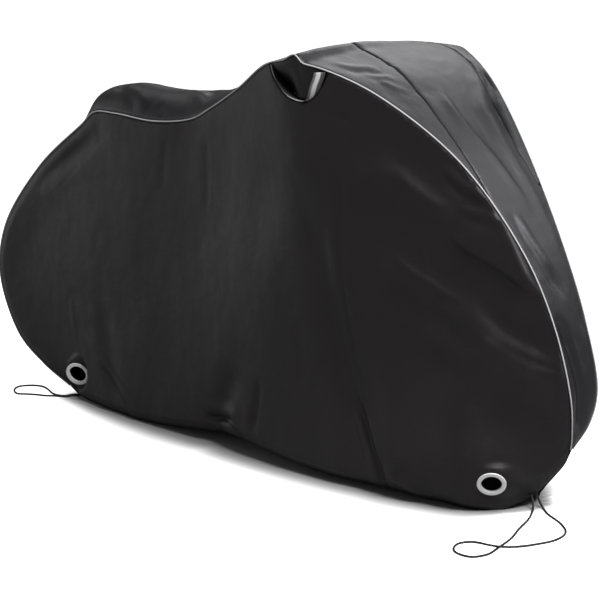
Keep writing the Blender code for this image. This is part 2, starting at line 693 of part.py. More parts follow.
def build():
    clear_scene()
    side_panel("side_near", NEAR)
    side_panel("side_far", FAR)
    strip_centre()
    gusset("gusset_near", NEAR)
    gusset("gusset_far", FAR)
    piping("piping_near", NEAR)
    piping("piping_far", FAR)
    vent_cloth()
    vent_band()
    for eyelet in EYELETS:
        ring(f"eyelet_{eyelet.name}_near", eyelet, NEAR)
        ring(f"eyelet_{eyelet.name}_far", eyelet, FAR)
    cord("cord_front", CORD_FRONT)
    cord("cord_rear", CORD_REAR)


build()
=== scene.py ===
"""Looks of the bicycle cover: its cloth, piping, vent, lock rings and tie cords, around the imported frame.

+X is the bicycle's front, -Y the near side, +Z up, in metres; tables of rows, folds and cords are in
millimetres. They give heights above the floor, which is TOP_HEIGHT below the origin. A place on a side panel
is (x, height), and one on the top strip is (run, across): run is the way along the strip from the
handlebar, towards the front, and across is the way from its middle.
"""
from collections import namedtuple
from math import ceil, cos, pi, radians, sin

import bpy
import numpy as np
from mathutils import Matrix, Vector, noise
from mathutils.geometry import delaunay_2d_cdt
from numpy.linalg import norm, solve


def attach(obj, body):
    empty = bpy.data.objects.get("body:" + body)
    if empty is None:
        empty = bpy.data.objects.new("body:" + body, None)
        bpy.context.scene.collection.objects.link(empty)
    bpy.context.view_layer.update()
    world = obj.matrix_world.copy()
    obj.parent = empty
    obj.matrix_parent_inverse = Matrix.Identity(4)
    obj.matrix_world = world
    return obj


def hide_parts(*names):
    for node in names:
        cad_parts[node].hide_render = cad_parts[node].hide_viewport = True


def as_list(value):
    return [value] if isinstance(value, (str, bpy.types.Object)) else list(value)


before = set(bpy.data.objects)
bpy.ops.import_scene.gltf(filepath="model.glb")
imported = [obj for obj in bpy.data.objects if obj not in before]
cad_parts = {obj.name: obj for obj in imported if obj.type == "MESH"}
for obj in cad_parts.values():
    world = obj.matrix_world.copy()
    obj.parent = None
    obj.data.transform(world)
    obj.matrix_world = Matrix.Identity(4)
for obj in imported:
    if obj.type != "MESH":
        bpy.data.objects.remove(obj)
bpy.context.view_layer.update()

# ---- sizes, in metres
TOP_HEIGHT = 1.031
CLOTH = 0.0016  # thickness of the cloth as it looks
NEAR, FAR = -1, 1  # the sign of Y on each side
SIDE_NAMES = {NEAR: "near", FAR: "far"}
FINE = 0.008  # facet of the cloth, and step along its seams
GRID_ROW = 0.87  # of a facet: from one row of a panel's grid to the next
GRID_CLEAR = 0.55  # of a facet: how near an edge a place of the grid may come
PIPING_RADIUS = 0.0018
SEAM_GAP = 0.002  # from a seam line to the cloth edge beside the piping
STRIP_TIP_HEIGHT = 0.15  # the strip and its piping run out at this height in front
PLAIN_SEAM_GAP = 0.0004
X, HEIGHT, HALF, CROWN, ROLL = range(5)  # the columns of the seam's points
SAME_PLACE = 1e-6
TINY = 1e-9
FAR_AWAY = 9.0


def in_metres(kind, *rows):
    """A table's rows as one kind of tuple, from rows in millimetres."""
    return tuple(kind(*(entry if isinstance(entry, str) else entry / 1000 for entry in row)) for row in rows)


def written(places):
    """Places in metres, from text with a comma between places and the numbers of each in millimetres."""
    return [[float(number) / 1000 for number in place.split()] for place in places.split(",")]


def fold_table(*rows):
    """Folds from rows in millimetres, apart from end, with each fold's spine written out."""
    return tuple(Fold(name, above / 1000, below / 1000, rise / 1000, end, written(spine))
                 for name, above, below, rise, end, spine in rows)


# ---- shape of the cover: the same rows as the CAD
Seam = namedtuple("Seam", "name x height half_width crown roll")
SEAM_ROWS = in_metres(Seam,
    ("rear hem", -1088, 24, 68, 6, 4),
    ("rear wheel, under", -1200, 66, 64, 10, 10),
    ("rear wheel, low", -1316, 141, 62, 12, 12),
    ("rear wheel, back", -1394, 300, 60, 12, 12),
    ("rear wheel, upper back", -1367, 440, 60, 12, 12),
    ("rear wheel, top", -1203, 630, 62, 12, 10),
    ("behind the saddle", -1014, 762, 69, 20, 4),
    ("saddle corner", -960, 799, 73, 52, 1),
    ("saddle, back", -862, 806, 86, 73, 0),
    ("saddle, middle", -692, 801, 100, 72, 0),
    ("saddle, nose", -545, 820, 106, 64, 0),
    ("valley", -459, 855, 122, 44, 0),
    ("rise", -311, 920, 170, 24, 0),
    ("behind the handlebar", -110, 1004, 262, 16, 0),
    ("handlebar", 0, 1014, 288, 18, 0),
    ("front of the handlebar", 70, 999, 260, 10, 0),
    ("brow", 185, 945, 207, 4, 0),
    ("slope", 357, 804, 124, 4, 0),
    ("lower slope", 511, 599, 72, 4, 0),
    ("front wheel, upper", 589, 440, 57, 5, 0),
    ("front wheel, front", 632, 285, 50, 8, 0),
    ("front wheel, low", 624, 207, 31, 6, 0),
    ("tip of the strip", 601, 152, 4.8, 1, 0),
    ("front wheel, under", 583, 112, 1.6, 0, 0),
    ("front hem", 530, 50, 1.6, 0, 0),
)
NEAR_PEAK = 0.018  # the near handlebar end lifts its seam
PEAK_BEHIND, PEAK_AHEAD = 0.032, 0.013
PEAK_DROP = 0.07
PEAK_LEAST_HEIGHT = 0.9

Rest = namedtuple("Rest", "name x height half_width")
HEM_ROWS = in_metres(Rest,
    ("rear corner", -1052, 13, 84),
    ("rear hem", -982, 3, 100),
    ("behind the pedals", -889, 2, 120),
    ("rear of the middle", -688, 4, 145),
    ("lifted middle", -330, 40, 178),
    ("middle", -160, 26, 198),
    ("front of the middle", 3, 17, 205),
    ("ahead of the pedals", 200, 17, 198),
    ("front hem", 360, 10, 172),
    ("front turn", 430, 1, 142),
    ("under the front ring", 480, 6, 92),
    ("front corner", 512, 30, 30),
)
PANEL_ROWS = in_metres(Rest,
    ("rear wheel hub", -1060, 360, 94),
    ("behind the frame", -800, 520, 108),
    ("rear of the frame", -800, 250, 124),
    ("frame", -520, 520, 122),
    ("ahead of the frame", -280, 520, 180),
    ("pedal", -520, 230, 148),
    ("ahead of the pedal", -280, 230, 190),
    ("under the stem", -180, 700, 196),
    ("under the handlebar", 0, 800, 266),
    ("fork, near", 30, 500, 226),
    ("fork, low", 30, 220, 202),
    ("front of the fork", 260, 560, 160),
    ("front of the fork, low", 260, 260, 164),
    ("front wheel", 450, 330, 104),
)
TUCK_X, TUCK_HEIGHT, TUCK_RADIUS, TUCK = 0.52, 0.08, 0.2, 0.55
EDGE_CALM = 0.05
SEAM_PULL = 0.15
ROLL_RUN = 0.035
CROWN_POWER = 2.6
FOLD_TAPER = 0.25
FOLD_STEP = 0.02
FOLD_REACH = 2.6  # a fold is felt this many times its width away

# Folds: spine is the line that each follows, in a side panel's places or the strip's. Its cross-section is
# a soft bump, above wide on the spine's left side and below wide on its right; rise is negative for a trough.
# It fades towards its ends, where the share called end is left.
Fold = namedtuple("Fold", "name above below rise end spine")
MAIN_FOLDS = fold_table(
    ("long drop", 42, 42, -12, 0.2, "-20 720, 150 0"),
    ("beside the long drop", 53, 53, 12, 0.2, "80 640, 250 10"),
    ("shoulder", 42, 42, 12, 0.2, "130 800, 380 640"),
    ("bow, upper", 42, 42, 12, 0.2, "160 560, 470 420"),
    ("bow, lower", 42, 42, 14, 0.2, "260 420, 600 250"),
    ("rear crease", 32, 32, -8, 0.2, "-1270 560, -930 740"),
    ("hem lift", 42, 42, -16, 0.2, "-430 0, -300 240"),
    ("rear drop", 39, 39, -9, 0.2, "-900 300, -820 20"),
)
NEAR_FOLDS = fold_table(
    ("long drop, line", 5, 7, -4, 0.2, "94 840, 91 698, 87 567, 91 496, 99 373, 104 312, 123 254, 155 180"),
    ("long drop, roll", 30, 16, 4, 0, "68 700, 62 567, 70 432, 92 290, 130 190"),
    ("drop to the notch", 7, 12, -10, 0.5, "105 214, 159 129, 193 76, 213 10"),
    ("ridge at the notch", 14, 8, 4, 0.4, "105 170, 155 90, 180 20"),
    ("beyond the notch", 12, 10, 8, 0.2, "222 95, 240 58, 281 36, 320 22"),
    ("shoulder ridge", 13, 16, 4.6, 0, "215 790, 257 746, 297 716, 345 690"),
    ("nip ridge", 8, 8, 5.5, 0, "318 800, 364 752, 403 734, 440 700"),
    ("under the nip", 6, 9, -3, 0, "318 776, 359 734, 399 714, 432 688"),
    ("hook", 6, 7, 5, 0, "356 704, 392 688, 421 687, 462 668"),
    ("under the hook", 7, 12, -2.6, 0, "365 680, 401 668, 450 657"),
    ("wide roll to the piping", 70, 14, 13, 0, "330 640, 398 602, 471 565, 556 508"),
    ("long crease", 7, 6, 4, 0, "190 597, 247 549, 297 521, 345 491, 391 484"),
    ("under the long crease", 6, 14, -1.6, 0, "205 572, 250 534, 297 507, 345 478"),
    ("long crease, second", 6, 6, 1.8, 0, "225 548, 279 511, 325 484"),
    ("short upright", 6, 8, 1.4, 0, "280 618, 285 570, 296 530"),
    ("bow ridge", 36, 36, 14, 0, "330 490, 352 464, 415 396, 498 348, 615 306"),
    ("bow ridge, edge", 7, 10, 1.8, 0, "410 418, 450 392, 515 364, 612 330"),
    ("bow ridge, second", 8, 6, 2.6, 0, "451 404, 531 378, 612 358"),
    ("over the bow", 30, 14, -6.5, 0, "411 485, 465 429, 533 402, 608 375"),
    ("nip at the piping", 5, 6, 2, 0, "562 345, 590 341, 622 338"),
    ("nip at the piping", 5, 6, 2.2, 0, "574 303, 600 298, 628 294"),
    ("nip at the piping", 5, 7, 2.2, 0, "576 237, 602 233, 628 231"),
    ("front corner ridge", 10, 12, 4, 0, "600 160, 572 112, 532 66"),
    ("pucker at the hem", 14, 12, -7.5, 0, "-213 223, -217 184, -226 144, -244 60"),
    ("beside the pucker", 12, 10, 2, 0, "-262 150, -262 110, -278 60"),
    ("flap over the gap", 20, 7, 6, 0, "-450 92, -396 94, -341 98, -300 80"),
    ("gap under the flap", 5, 10, -15, 0, "-450 70, -396 73, -341 77, -312 62, -270 40"),
    ("middle trough", 16, 22, -3, 0, "-60 400, -56 320, -46 210"),
    ("rear ring, inner", 8, 10, 2, 0, "-1042 290, -1037 222, -1026 150"),
    ("rear ring, outer", 8, 7, 3.6, 0, "-989 205, -925 158, -858 101, -777 45"),
    ("dark drop", 8, 12, -6, 0, "-910 128, -858 88, -790 36, -754 10"),
    ("slack of the rear", 12, 10, 2.4, 0, "-958 222, -894 168, -817 112, -744 60"),
    ("second slack", 14, 16, -1.6, 0, "-1060 300, -990 292, -930 262"),
    ("rear crease, sharp", 3, 3, -0.8, 0, "-820 810, -928 725, -1013 657, -1095 586, -1165 534"),
    ("under the saddle", 12, 16, -2, 0, "-478 800, -474 700, -470 570"),
    ("under the saddle, rear", 16, 14, -1.8, 0, "-640 770, -652 690, -660 600"),
    ("over the front ring", 75, 30, 6, 0.6, "440 125, 485 122, 530 128"),
    ("front hem bow", 14, 18, 3, 0, "245 125, 282 86, 340 46"),
    ("beside the vent", 8, 12, -2.8, 0, "64 925, 92 900, 126 880"),
)
FAR_FOLDS = fold_table(
    ("long crease", 28, 9, 6, 0, "60 700, 90 500, 140 250, 180 40"),
    ("shoulder ridge", 20, 13, 6, 0, "180 810, 260 745, 370 670"),
    ("bow ridge", 18, 26, 6, 0, "300 430, 430 380, 560 350"),
    ("pull to the rear hem", 16, 12, 4.5, 0, "-700 330, -820 200, -930 90"),
    ("middle trough", 22, 14, -6, 0, "-300 420, -270 240, -290 60"),
    ("rear crease", 10, 20, -4, 0, "-840 770, -980 690, -1120 570"),
)
STRIP_FOLDS = fold_table(
    ("ridge, near", 13, 18, 5, 0, "180 12, 258 -18, 340 -26, 445 -12, 600 16"),
    ("ridge, far", 18, 16, 4.4, 0, "140 175, 199 150, 290 82, 347 66, 445 48, 560 50, 700 46"),
    ("valley between", 18, 18, -2.6, 0, "240 50, 360 22, 520 24"),
    ("beside the far gusset", 12, 16, -8, 0, "110 225, 200 190, 280 135, 400 88"),
    ("hollow of the brow", 30, 30, -1.5, 0, "80 60, 150 40, 230 50"),
    ("brow pull", 16, 20, 1.6, 0, "50 -40, 90 40, 105 140"),
    ("brow pull, behind", 12, 14, -1, 0, "20 -80, 45 0, 60 100"),
    ("seam of the near gusset", 110, 70, 5, 0.2, "-40 -105, 50 -88, 130 -80, 220 -86"),
    ("gusset pull", 9, 12, 3, 0, "55 -225, 90 -165, 110 -115"),
    ("gusset pull", 8, 10, 2.8, 0, "110 -190, 140 -145, 155 -110"),
    ("gusset pull", 8, 10, 2.2, 0, "150 -165, 190 -130, 205 -105"),
    ("gusset trough", 8, 10, -2.2, 0, "85 -220, 118 -170, 132 -120"),
    ("low fold", 9, 14, -5, 0, "560 -60, 640 -48, 740 -20, 800 6"),
    ("lip of the low fold", 10, 10, 3.4, 0, "560 -45, 650 -30, 740 -2"),
    ("hollow beside the wheel", 14, 18, -19, 0, "820 -40, 900 -22, 1000 -12, 1120 -8"),
    ("edge beyond the hollow", 14, 14, 4, 0, "830 40, 950 36, 1080 22"),
    ("saddle crease", 10, 20, 6, 0, "-930 -30, -840 -56, -770 -86"),
    ("saddle crease, behind", 16, 10, -4.5, 0, "-965 -20, -880 -56, -800 -90"),
    ("saddle nose", 18, 16, 5, 0, "-700 -10, -610 -45, -530 -90"),
    ("saddle nose, ahead", 18, 16, -4.5, 0, "-640 10, -560 -30, -480 -90"),
    ("saddle tuck", 6, 8, -4, 0, "-745 -70, -715 -82, -690 -96"),
    ("behind the handlebar", 30, 26, 5, 0, "-330 -60, -220 20, -120 110"),
    ("rear wheel, left", 14, 12, -3.5, 0, "-1250 -25, -1380 -20, -1520 -28"),
    ("rear wheel, right", 12, 14, -3.5, 0, "-1180 30, -1330 22, -1560 30"),
)

# The gussets that widen the strip over the handlebar: how far the centre panel reaches to each side
Reach = namedtuple("Reach", "x near far")
CENTRE_ROWS = in_metres(Reach,
    (-459, 122, 122), (-250, 122, 160), (-20, 98, 215), (50, 80, 222), (120, 74, 208), (200, 82, 165),
    (290, 91, 121), (350, 97, 92), (440, 94, 94),
)
GUSSET_BACK, GUSSET_FRONT = -0.455, 0.42
GUSSET_LEAST_HEIGHT = 0.6
GUSSET_LEAST = 0.003
CENTRE_COLUMNS, GUSSET_COLUMNS = 54, 24  # places across each

# The vent: a U through the near panel's top edge, a tape hoop standing in it, and cloth behind
VENT_LEFT, VENT_RIGHT = -0.102, 0.07
VENT_MIDDLE = 0.01
VENT_BOTTOM = 0.924
VENT_POWER = 1.3
VENT_SEAM_LEAST, VENT_SEAM_RUN = 0.87, 0.3
VENT_SEAM_CLEAR = 0.006
VENT_RIM_GAP = 0.003
VENT_CLOTH_GAP = 0.0035
VENT_RECESS = 0.03
VENT_SHALLOW = 0.0035
DISH_DOWN, DISH_BACK = 1.3, 1.4
DISH_FRONT_SHARE = 0.35
DISH_START = 0.04
BAND_REAR_LEAN, BAND_FRONT_LEAN = -0.1, 0.5
BAND_WIDTH = 0.028
BAND_STEPS = 72
BAND_ROWS = 12
BAND_ENDS = 0.025
BAND_PROUD_FROM, BAND_PROUD_OVER = 0.45, 0.4
# Painted shade on the hoop's rear: how far its stripe is shifted across, into the tape's darkest grey, by the
# share of the way along it
BAND_PAINTED_SHADE_SHIFT = ((0.00, 0.46), (0.12, 0.56), (0.24, 0.68), (0.38, 0.56), (0.6, 0.0))
RIDGE_X, RIDGE_WIDTH, RIDGE = -0.012, 0.024, 0.01  # the upright ridge that the grip makes in it

# Lock-hole rings
Eyelet = namedtuple("Eyelet", "name x height half_width far_half_width slope_x slope_z")
EYELETS = (
    Eyelet("rear", -1.028, 0.071, 0.088, 0.088, -0.5, 0.35),
    Eyelet("front", 0.478, 0.074, 0.136, 0.092, -0.8, 0.65),
)
RING_OUTER, RING_BARREL, RING_BORE = 0.034, 0.0268, 0.024
RING_FLANGE = 0.0024
RING_ROUND = 0.0011  # radius of a flange's rounded edges
RING_CLIP_GAP = 0.0003  # between a flange and the cloth
RING_SEGMENTS = 96
RING_SHARP = 40  # degrees; an edge of a ring sharper than this stays sharp
HOLE_RADIUS = 0.0276
RIM_FINER = 1.5  # times as many facets around a hole
FLAT_RADIUS, FLAT_BLEND = 0.037, 0.024

# Tie cords: the points of each loop as in the CAD, which starts and ends in the hem. A point without a
# height lies on the floor.
CORD_RADIUS = 0.0027
CORD_REST = 0.0028
CORD_STEP = 0.008
CORD_FRONT = (
    "508 -26 31, 520 -35 16, 525 -41, 564 -105, 597 -183, 628 -251, 647 -315, 661 -374, 646 -410, "
    "608 -411, 582 -392, 567 -356, 581 -328 3, 630 -329 7, 657 -328 9.2, 668 -308 6, 688 -258, 705 -192, "
    "690 -134, 641 -87, 570 -46, 536 -19 4, 516 -9 18, 512 -14 36"
)
CORD_REAR = (
    "-1052 -63, -1066 -77, -1068 -98, -1088 -109, -1115 -107, -1153 -90, -1187 -77, -1212 -77, -1237 -96, "
    "-1246 -121, -1227 -153, -1185 -176, -1163 -163, -1138 -148, -1114 -139, -1090 -121, -1061 -104, "
    "-1060 -83, -1049 -68"
)

# Stitching: where each row lies, beside a seam or above a hem
STITCH_PITCH, STITCH_LENGTH, THREAD_RADIUS = 0.0044, 0.0033, 0.00035
PIPING_STITCH, GUSSET_STITCH, HEM_STITCH = 0.0065, 0.0035, 0.004
VENT_STITCH_CLEAR = 0.01

# Fine wear of the cloth: puckers along its seams, a turned hem, and slack
PUCKER_RISE, PUCKER_REACH = 0.00176, 0.022
PUCKER_SIZE, PUCKER_PATCH = 0.0135, 0.135  # of a ripple, and of a patch of strong ones
PUCKER_MEAN, PUCKER_VARY, PUCKER_MOST = 0.5, 0.9, 1.5
PUCKER_SLANT = 0.4  # how much the ripples change on the way from the seam
HEM_PUCKER, GUSSET_PUCKER = 0.8, 2.0  # their strength there, as a share of the rest
SEAM_DIP, SEAM_DIP_RUN = 0.0022, 0.005
GROOVE_DIP, GROOVE_RUN = 0.003, 0.005
HEM_BAND = 0.022  # width of the turned hem
HEM_STEP, HEM_EDGE = 0.0007, 0.003  # how proud it stands, and the run of that step
HEM_CURL, HEM_CURL_RUN = 0.014, 0.028
SLACK_RISE, SLACK_SIZE, SLACK_STRETCH = 0.0028, 0.11, 2.2
STRIP_SLACK_RISE, STRIP_SLACK_SIZE = 0.00168, 0.088
WRINKLE_RISE, WRINKLE_SIZE, WRINKLE_STRETCH = 0.0007, 0.034, 1.6
PANEL_CALM, STRIP_CALM, STRIP_SLACK_CALM = 0.012, 0.01, 0.03  # folds fade out this close to a seam

# Where each field of noise is cut, so that no two are alike
SLACK_CUT, WRINKLE_CUT, SEAM_CUT, HEM_CUT, RIPPLE_CUT = 3.1, 5.7, 11.0, 23.0, 7
STRIP_SLACK_CUT, STRIP_WRINKLE_CUT, STRIP_SEAM_CUT, GUSSET_CUT = 9.3, 12.9, 31.0, 47.0

# Materials
GLOSS_SPREAD = 0.06  # how far the cloth's roughness strays to each side
# Greys across the tape: dark edges and a silver middle; the last grey is also the painted shade on the hoop's
# rear
TAPE_GREYS = ((0.0, 0.1), (0.16, 0.12), (0.24, 0.46), (0.56, 0.54), (0.64, 0.06), (1.0, 0.03))


# ---- curves and surfaces

def along_rows(rows, step):
    """Points every step or so along a smooth curve through the rows: a centripetal Catmull-Rom curve."""
    rows = np.array(rows, dtype=float)
    ends = np.vstack([2 * rows[0] - rows[1], rows, 2 * rows[-1] - rows[-2]])
    chords = norm(np.diff(ends[:, :2], axis=0), axis=1) ** 0.5
    points = []
    for i in range(len(rows) - 1):
        before, start, end, after = ends[i:i + 4]
        behind, here, ahead = chords[i:i + 3]
        slope = (end - start) / here
        leave = (slope + (start - before) / behind - (end - before) / (behind + here)) * here
        arrive = (slope + (after - end) / ahead - (after - start) / (here + ahead)) * here
        count = max(1, ceil(here**2 / step))
        for t in np.arange(count) / count:
            points.append((2 * t**3 - 3 * t**2 + 1) * start + (t**3 - 2 * t**2 + t) * leave
                          + (3 * t**2 - 2 * t**3) * end + (t**3 - t**2) * arrive)
    points.append(rows[-1])
    return np.array(points)


def way_along(line):
    """How far along a line each of its points is."""
    return np.concatenate([[0.0], np.cumsum(norm(np.diff(line, axis=0), axis=1))])


def ease(value):
    value = np.clip(value, 0.0, 1.0)
    return value * value * (3 - 2 * value)


def line_distance(places, line):
    """Each place's distance to a line, its way along it, its side of it, and the whole line's length."""
    start, run = line[:-1, :2], np.diff(line[:, :2], axis=0)
    length, before = norm(run, axis=1), way_along(line[:, :2])
    gap = np.full(len(places), FAR_AWAY)
    along, side = np.zeros(len(places)), np.ones(len(places))
    for i in range(len(run)):
        offset = places - start[i]
        t = np.clip(offset @ run[i] / max(length[i] ** 2, TINY), 0.0, 1.0)
        away = offset - t[:, None] * run[i]
        here = np.hypot(away[:, 0], away[:, 1])
        closer = here < gap
        gap[closer] = here[closer]
        along[closer] = before[i] + t[closer] * length[i]
        side[closer] = np.sign(run[i, 0] * offset[closer, 1] - run[i, 1] * offset[closer, 0])
    return gap, along, side, before[-1]


def fold_rise(places, folds):
    rise = np.zeros(len(places))
    for fold in folds:
        line = along_rows(fold.spine, FOLD_STEP)
        reach = FOLD_REACH * max(fold.above, fold.below)
        close = np.all((places > line.min(axis=0) - reach) & (places < line.max(axis=0) + reach), axis=1)
        gap, along, side, total = line_distance(places[close], line)
        width = np.where(side > 0, fold.above, fold.below)
        t = along / total
        ends = ease(t / FOLD_TAPER) * ease((1 - t) / FOLD_TAPER)
        rise[close] += fold.rise * (fold.end + (1 - fold.end) * ends) * np.exp(-((gap / width) ** 2))
    return rise


def noise_field(places, size, cut, stretch=1.0):
    """Smooth noise from about -1 to 1 over places, with features of this size, longer upright by stretch."""
    return np.array([noise.noise(Vector((x / size, y / size / stretch, cut))) for x, y in places])


def thin_plate(distance):
    return distance**2 * np.log(distance + TINY)


def fit_width():
    """Weights of a thin-plate surface through the half-widths of the seam, the hem and the panel."""
    known = np.array([row[1:4] for row in SEAM_ROWS + HEM_ROWS + PANEL_ROWS + EYELETS], dtype=float)
    places, widths = known[:, :2], known[:, 2]
    apart = norm(places[:, None] - places[None], axis=2)
    plane = np.c_[np.ones(len(places)), places]
    system = np.block([[thin_plate(apart), plane], [plane.T, np.zeros((3, 3))]])
    return places, solve(system, np.append(widths, np.zeros(3)))


WIDTH_PLACES, WIDTH_WEIGHTS = fit_width()
SEAM = along_rows([row[1:] for row in SEAM_ROWS], FINE)
STRIP_STATIONS = np.flatnonzero((SEAM[:, X] < 0) | (SEAM[:, HEIGHT] > STRIP_TIP_HEIGHT))
HEM = along_rows([row[1:] for row in HEM_ROWS], FINE)
HANDLEBAR = next(row for row in SEAM_ROWS if row.name == "handlebar")
RUN = way_along(SEAM[:, :2])
RUN -= RUN[np.argmin(np.hypot(SEAM[:, X], SEAM[:, HEIGHT] - HANDLEBAR.height))]


def smooth_width(places):
    apart = norm(places[:, None] - WIDTH_PLACES[None], axis=2)
    return thin_plate(apart) @ WIDTH_WEIGHTS[:-3] + WIDTH_WEIGHTS[-3] + places @ WIDTH_WEIGHTS[-2:]


def seam_at(places):
    """The distance to the seam, the way along it, and its row there."""
    gap, along, _, _ = line_distance(places, SEAM)
    rows = np.column_stack([np.interp(along, RUN - RUN[0], column) for column in SEAM.T])
    return gap, along, rows


def half_width(places, side, gap, rows):
    """How far a side panel stands from the middle plane, as in the CAD."""
    seam_width, roll = rows[:, HALF], rows[:, ROLL]
    width = smooth_width(places) + fold_rise(places, MAIN_FOLDS) * ease(gap / EDGE_CALM)
    width += (seam_width + roll - smooth_width(rows[:, :2])) * (1 - ease(gap / SEAM_PULL))
    width -= roll * (1 - ease(gap / ROLL_RUN))
    if side == FAR:
        near_tuck = np.hypot(places[:, 0] - TUCK_X, places[:, 1] - TUCK_HEIGHT) / TUCK_RADIUS
        width = seam_width + (width - seam_width) * (1 - TUCK * np.exp(-(near_tuck**2)))
    return width


def flatten_at_rings(places, side, width):
    for eyelet in EYELETS:
        flat = 1 - ease((ring_reach(eyelet, places) - FLAT_RADIUS) / FLAT_BLEND)
        level = eyelet_width(eyelet, side) + ring_offset(eyelet, places)[1]
        width = width * (1 - flat) + level * flat
    return width


def ring_offset(eyelet, places):
    """Places from a ring's centre, and how far the sloping cloth has risen at each."""
    offset = places - np.array((eyelet.x, eyelet.height))
    return offset, offset @ np.array((eyelet.slope_x, eyelet.slope_z))


def ring_reach(eyelet, places):
    """How far places are from a ring's centre, measured on the sloping cloth."""
    offset, rise = ring_offset(eyelet, places)
    return np.sqrt((offset**2).sum(axis=1) + rise**2)


def ring_line(eyelet, radius, count):
    """Places all around a ring's centre, a radius away on the sloping cloth."""
    turns = np.arange(count) * 2 * pi / count
    centre, away = np.array((eyelet.x, eyelet.height)), np.c_[np.cos(turns), np.sin(turns)]
    return centre + away * (radius / ring_reach(eyelet, centre + away))[:, None]


def eyelet_width(eyelet, side):
    return eyelet.half_width if side == NEAR else eyelet.far_half_width


def pucker(along, gap, cut):
    """Ripples across a seam that fade away from it, uneven along it."""
    points = np.c_[along, np.zeros(len(along))]
    size = PUCKER_MEAN + PUCKER_VARY * noise_field(points, PUCKER_PATCH, cut)
    ripple = noise_field(np.c_[along, gap * PUCKER_SLANT], PUCKER_SIZE, cut + RIPPLE_CUT)
    return PUCKER_RISE * np.clip(size, 0.0, PUCKER_MOST) * ripple * np.exp(-gap / PUCKER_REACH)


def panel_detail(places, side, gap, along):
    """What the cloth does between its main folds: creases, puckers, the turned hem and slack."""
    calm = ease(gap / PANEL_CALM)
    slack = noise_field(places, SLACK_SIZE, SLACK_CUT * side, SLACK_STRETCH)
    rise = fold_rise(places, NEAR_FOLDS if side == NEAR else FAR_FOLDS) * calm
    rise += SLACK_RISE * slack * ease(gap / EDGE_CALM)
    rise += WRINKLE_RISE * noise_field(places, WRINKLE_SIZE, WRINKLE_CUT * side, WRINKLE_STRETCH) * calm
    rise += pucker(along, gap, SEAM_CUT + side) - SEAM_DIP * np.exp(-gap / SEAM_DIP_RUN)
    hem_gap, hem_along, _, _ = line_distance(places, HEM)
    rise += HEM_STEP * (1 - ease((hem_gap - HEM_BAND) / HEM_EDGE))
    rise += HEM_PUCKER * pucker(hem_along, np.abs(hem_gap - HEM_BAND), HEM_CUT + side)
    return rise - HEM_CURL * (1 - ease(hem_gap / HEM_CURL_RUN)) ** 2


def peak(x, side):
    run = np.where(x < 0, PEAK_BEHIND, PEAK_AHEAD)
    return NEAR_PEAK * np.exp(-((x / run) ** 2)) * (side == NEAR)


def on_panel(places, side, inward=0.0, detail=True):
    places = np.atleast_2d(np.array(places, dtype=float))
    gap, along, rows = seam_at(places)
    width = half_width(places, side, gap, rows)
    if detail:
        width += panel_detail(places, side, gap, along)
    width = flatten_at_rings(places, side, width)
    lift = peak(places[:, 0], side) * (1 - ease(gap / PEAK_DROP)) * (places[:, 1] > PEAK_LEAST_HEIGHT)
    return np.c_[places[:, 0], side * (width - inward), places[:, 1] + lift - TOP_HEIGHT]


# ---- meshes

def add_thing(name, data):
    thing = bpy.data.objects.new(name, data)
    bpy.context.collection.objects.link(thing)
    return thing


def add_piece(name, data, look):
    thing = add_thing(name, data)
    data.materials.append(look)
    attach(thing, "root")
    return thing


def add_object(name, data, look):
    """A piece that stands for the CAD node of this name."""
    thing = add_piece(name + "_look", data, look)
    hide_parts(name)
    return thing


def tuples(rows):
    return [tuple(row) for row in rows]


def add_mesh(name, points, faces, weave=None):
    mesh = bpy.data.meshes.new(name)
    mesh.from_pydata(tuples(points), [], tuples(faces))
    mesh.validate()
    mesh.shade_smooth()
    if weave is not None:
        lay = mesh.attributes.new("lay", "FLOAT_VECTOR", "POINT")
        flat = np.c_[weave, np.zeros(len(points))].astype(np.float32)
        lay.data.foreach_set("vector", flat.ravel())
    return mesh


def add_cloth(name, points, faces, weave, look):
    sheet = add_object(name, add_mesh(name, points, faces, weave), look)
    thick = sheet.modifiers.new("cloth", "SOLIDIFY")
    thick.thickness = CLOTH
    thick.offset = 0.0
    return sheet


def outward(line):
    """The direction out of a line's loop at each of its points."""
    run = np.gradient(line, axis=0)
    return np.c_[-run[:, 1], run[:, 0]] / norm(run, axis=1)[:, None]


def inset_line(line, gap):
    return line - gap * outward(line)


def top_seam():
    line = inset_line(SEAM[:, :2], SEAM_GAP)
    return line[(line[:, HEIGHT] > VENT_SEAM_LEAST) & (np.abs(line[:, X]) < VENT_SEAM_RUN)]


TOP_SEAM = top_seam()


def seam_over(x):
    return np.interp(x, TOP_SEAM[:, X], TOP_SEAM[:, HEIGHT])


def vent_place(turn, grow):
    """A place on the U of the vent in the side view; turn runs from 0, rear top, to pi, front top."""
    run = (VENT_MIDDLE - VENT_LEFT if turn < pi / 2 else VENT_RIGHT - VENT_MIDDLE) + grow
    x = VENT_MIDDLE - run * cos(turn)
    top = seam_over(x)
    return (x, top - (top - VENT_BOTTOM + grow) * sin(turn) ** VENT_POWER)


def vent_rim(grow):
    return [vent_place(pi * i / BAND_STEPS, grow) for i in range(BAND_STEPS + 1)]


def panel_outline(side):
    seam = tuples(inset_line(SEAM[:, :2], SEAM_GAP))
    if side == NEAR:
        cut = vent_rim(VENT_RIM_GAP)
        behind = [place for place in seam if place[0] < cut[0][0] - VENT_SEAM_CLEAR]
        ahead = [place for place in seam if place[0] > cut[-1][0] + VENT_SEAM_CLEAR]
        seam = behind + cut + ahead
    return seam + tuples(HEM[::-1, :2])


def inside(places, loop):
    """Which places lie inside a closed loop, by counting crossings."""
    loop = np.array(loop)
    odd = np.zeros(len(places), dtype=bool)
    for (x0, h0), (x1, h1) in zip(loop, np.roll(loop, -1, axis=0)):
        crosses = (h0 > places[:, 1]) != (h1 > places[:, 1])
        odd ^= crosses & (places[:, 0] < x0 + (places[:, 1] - h0) * (x1 - x0) / (h1 - h0 + TINY))
    return odd


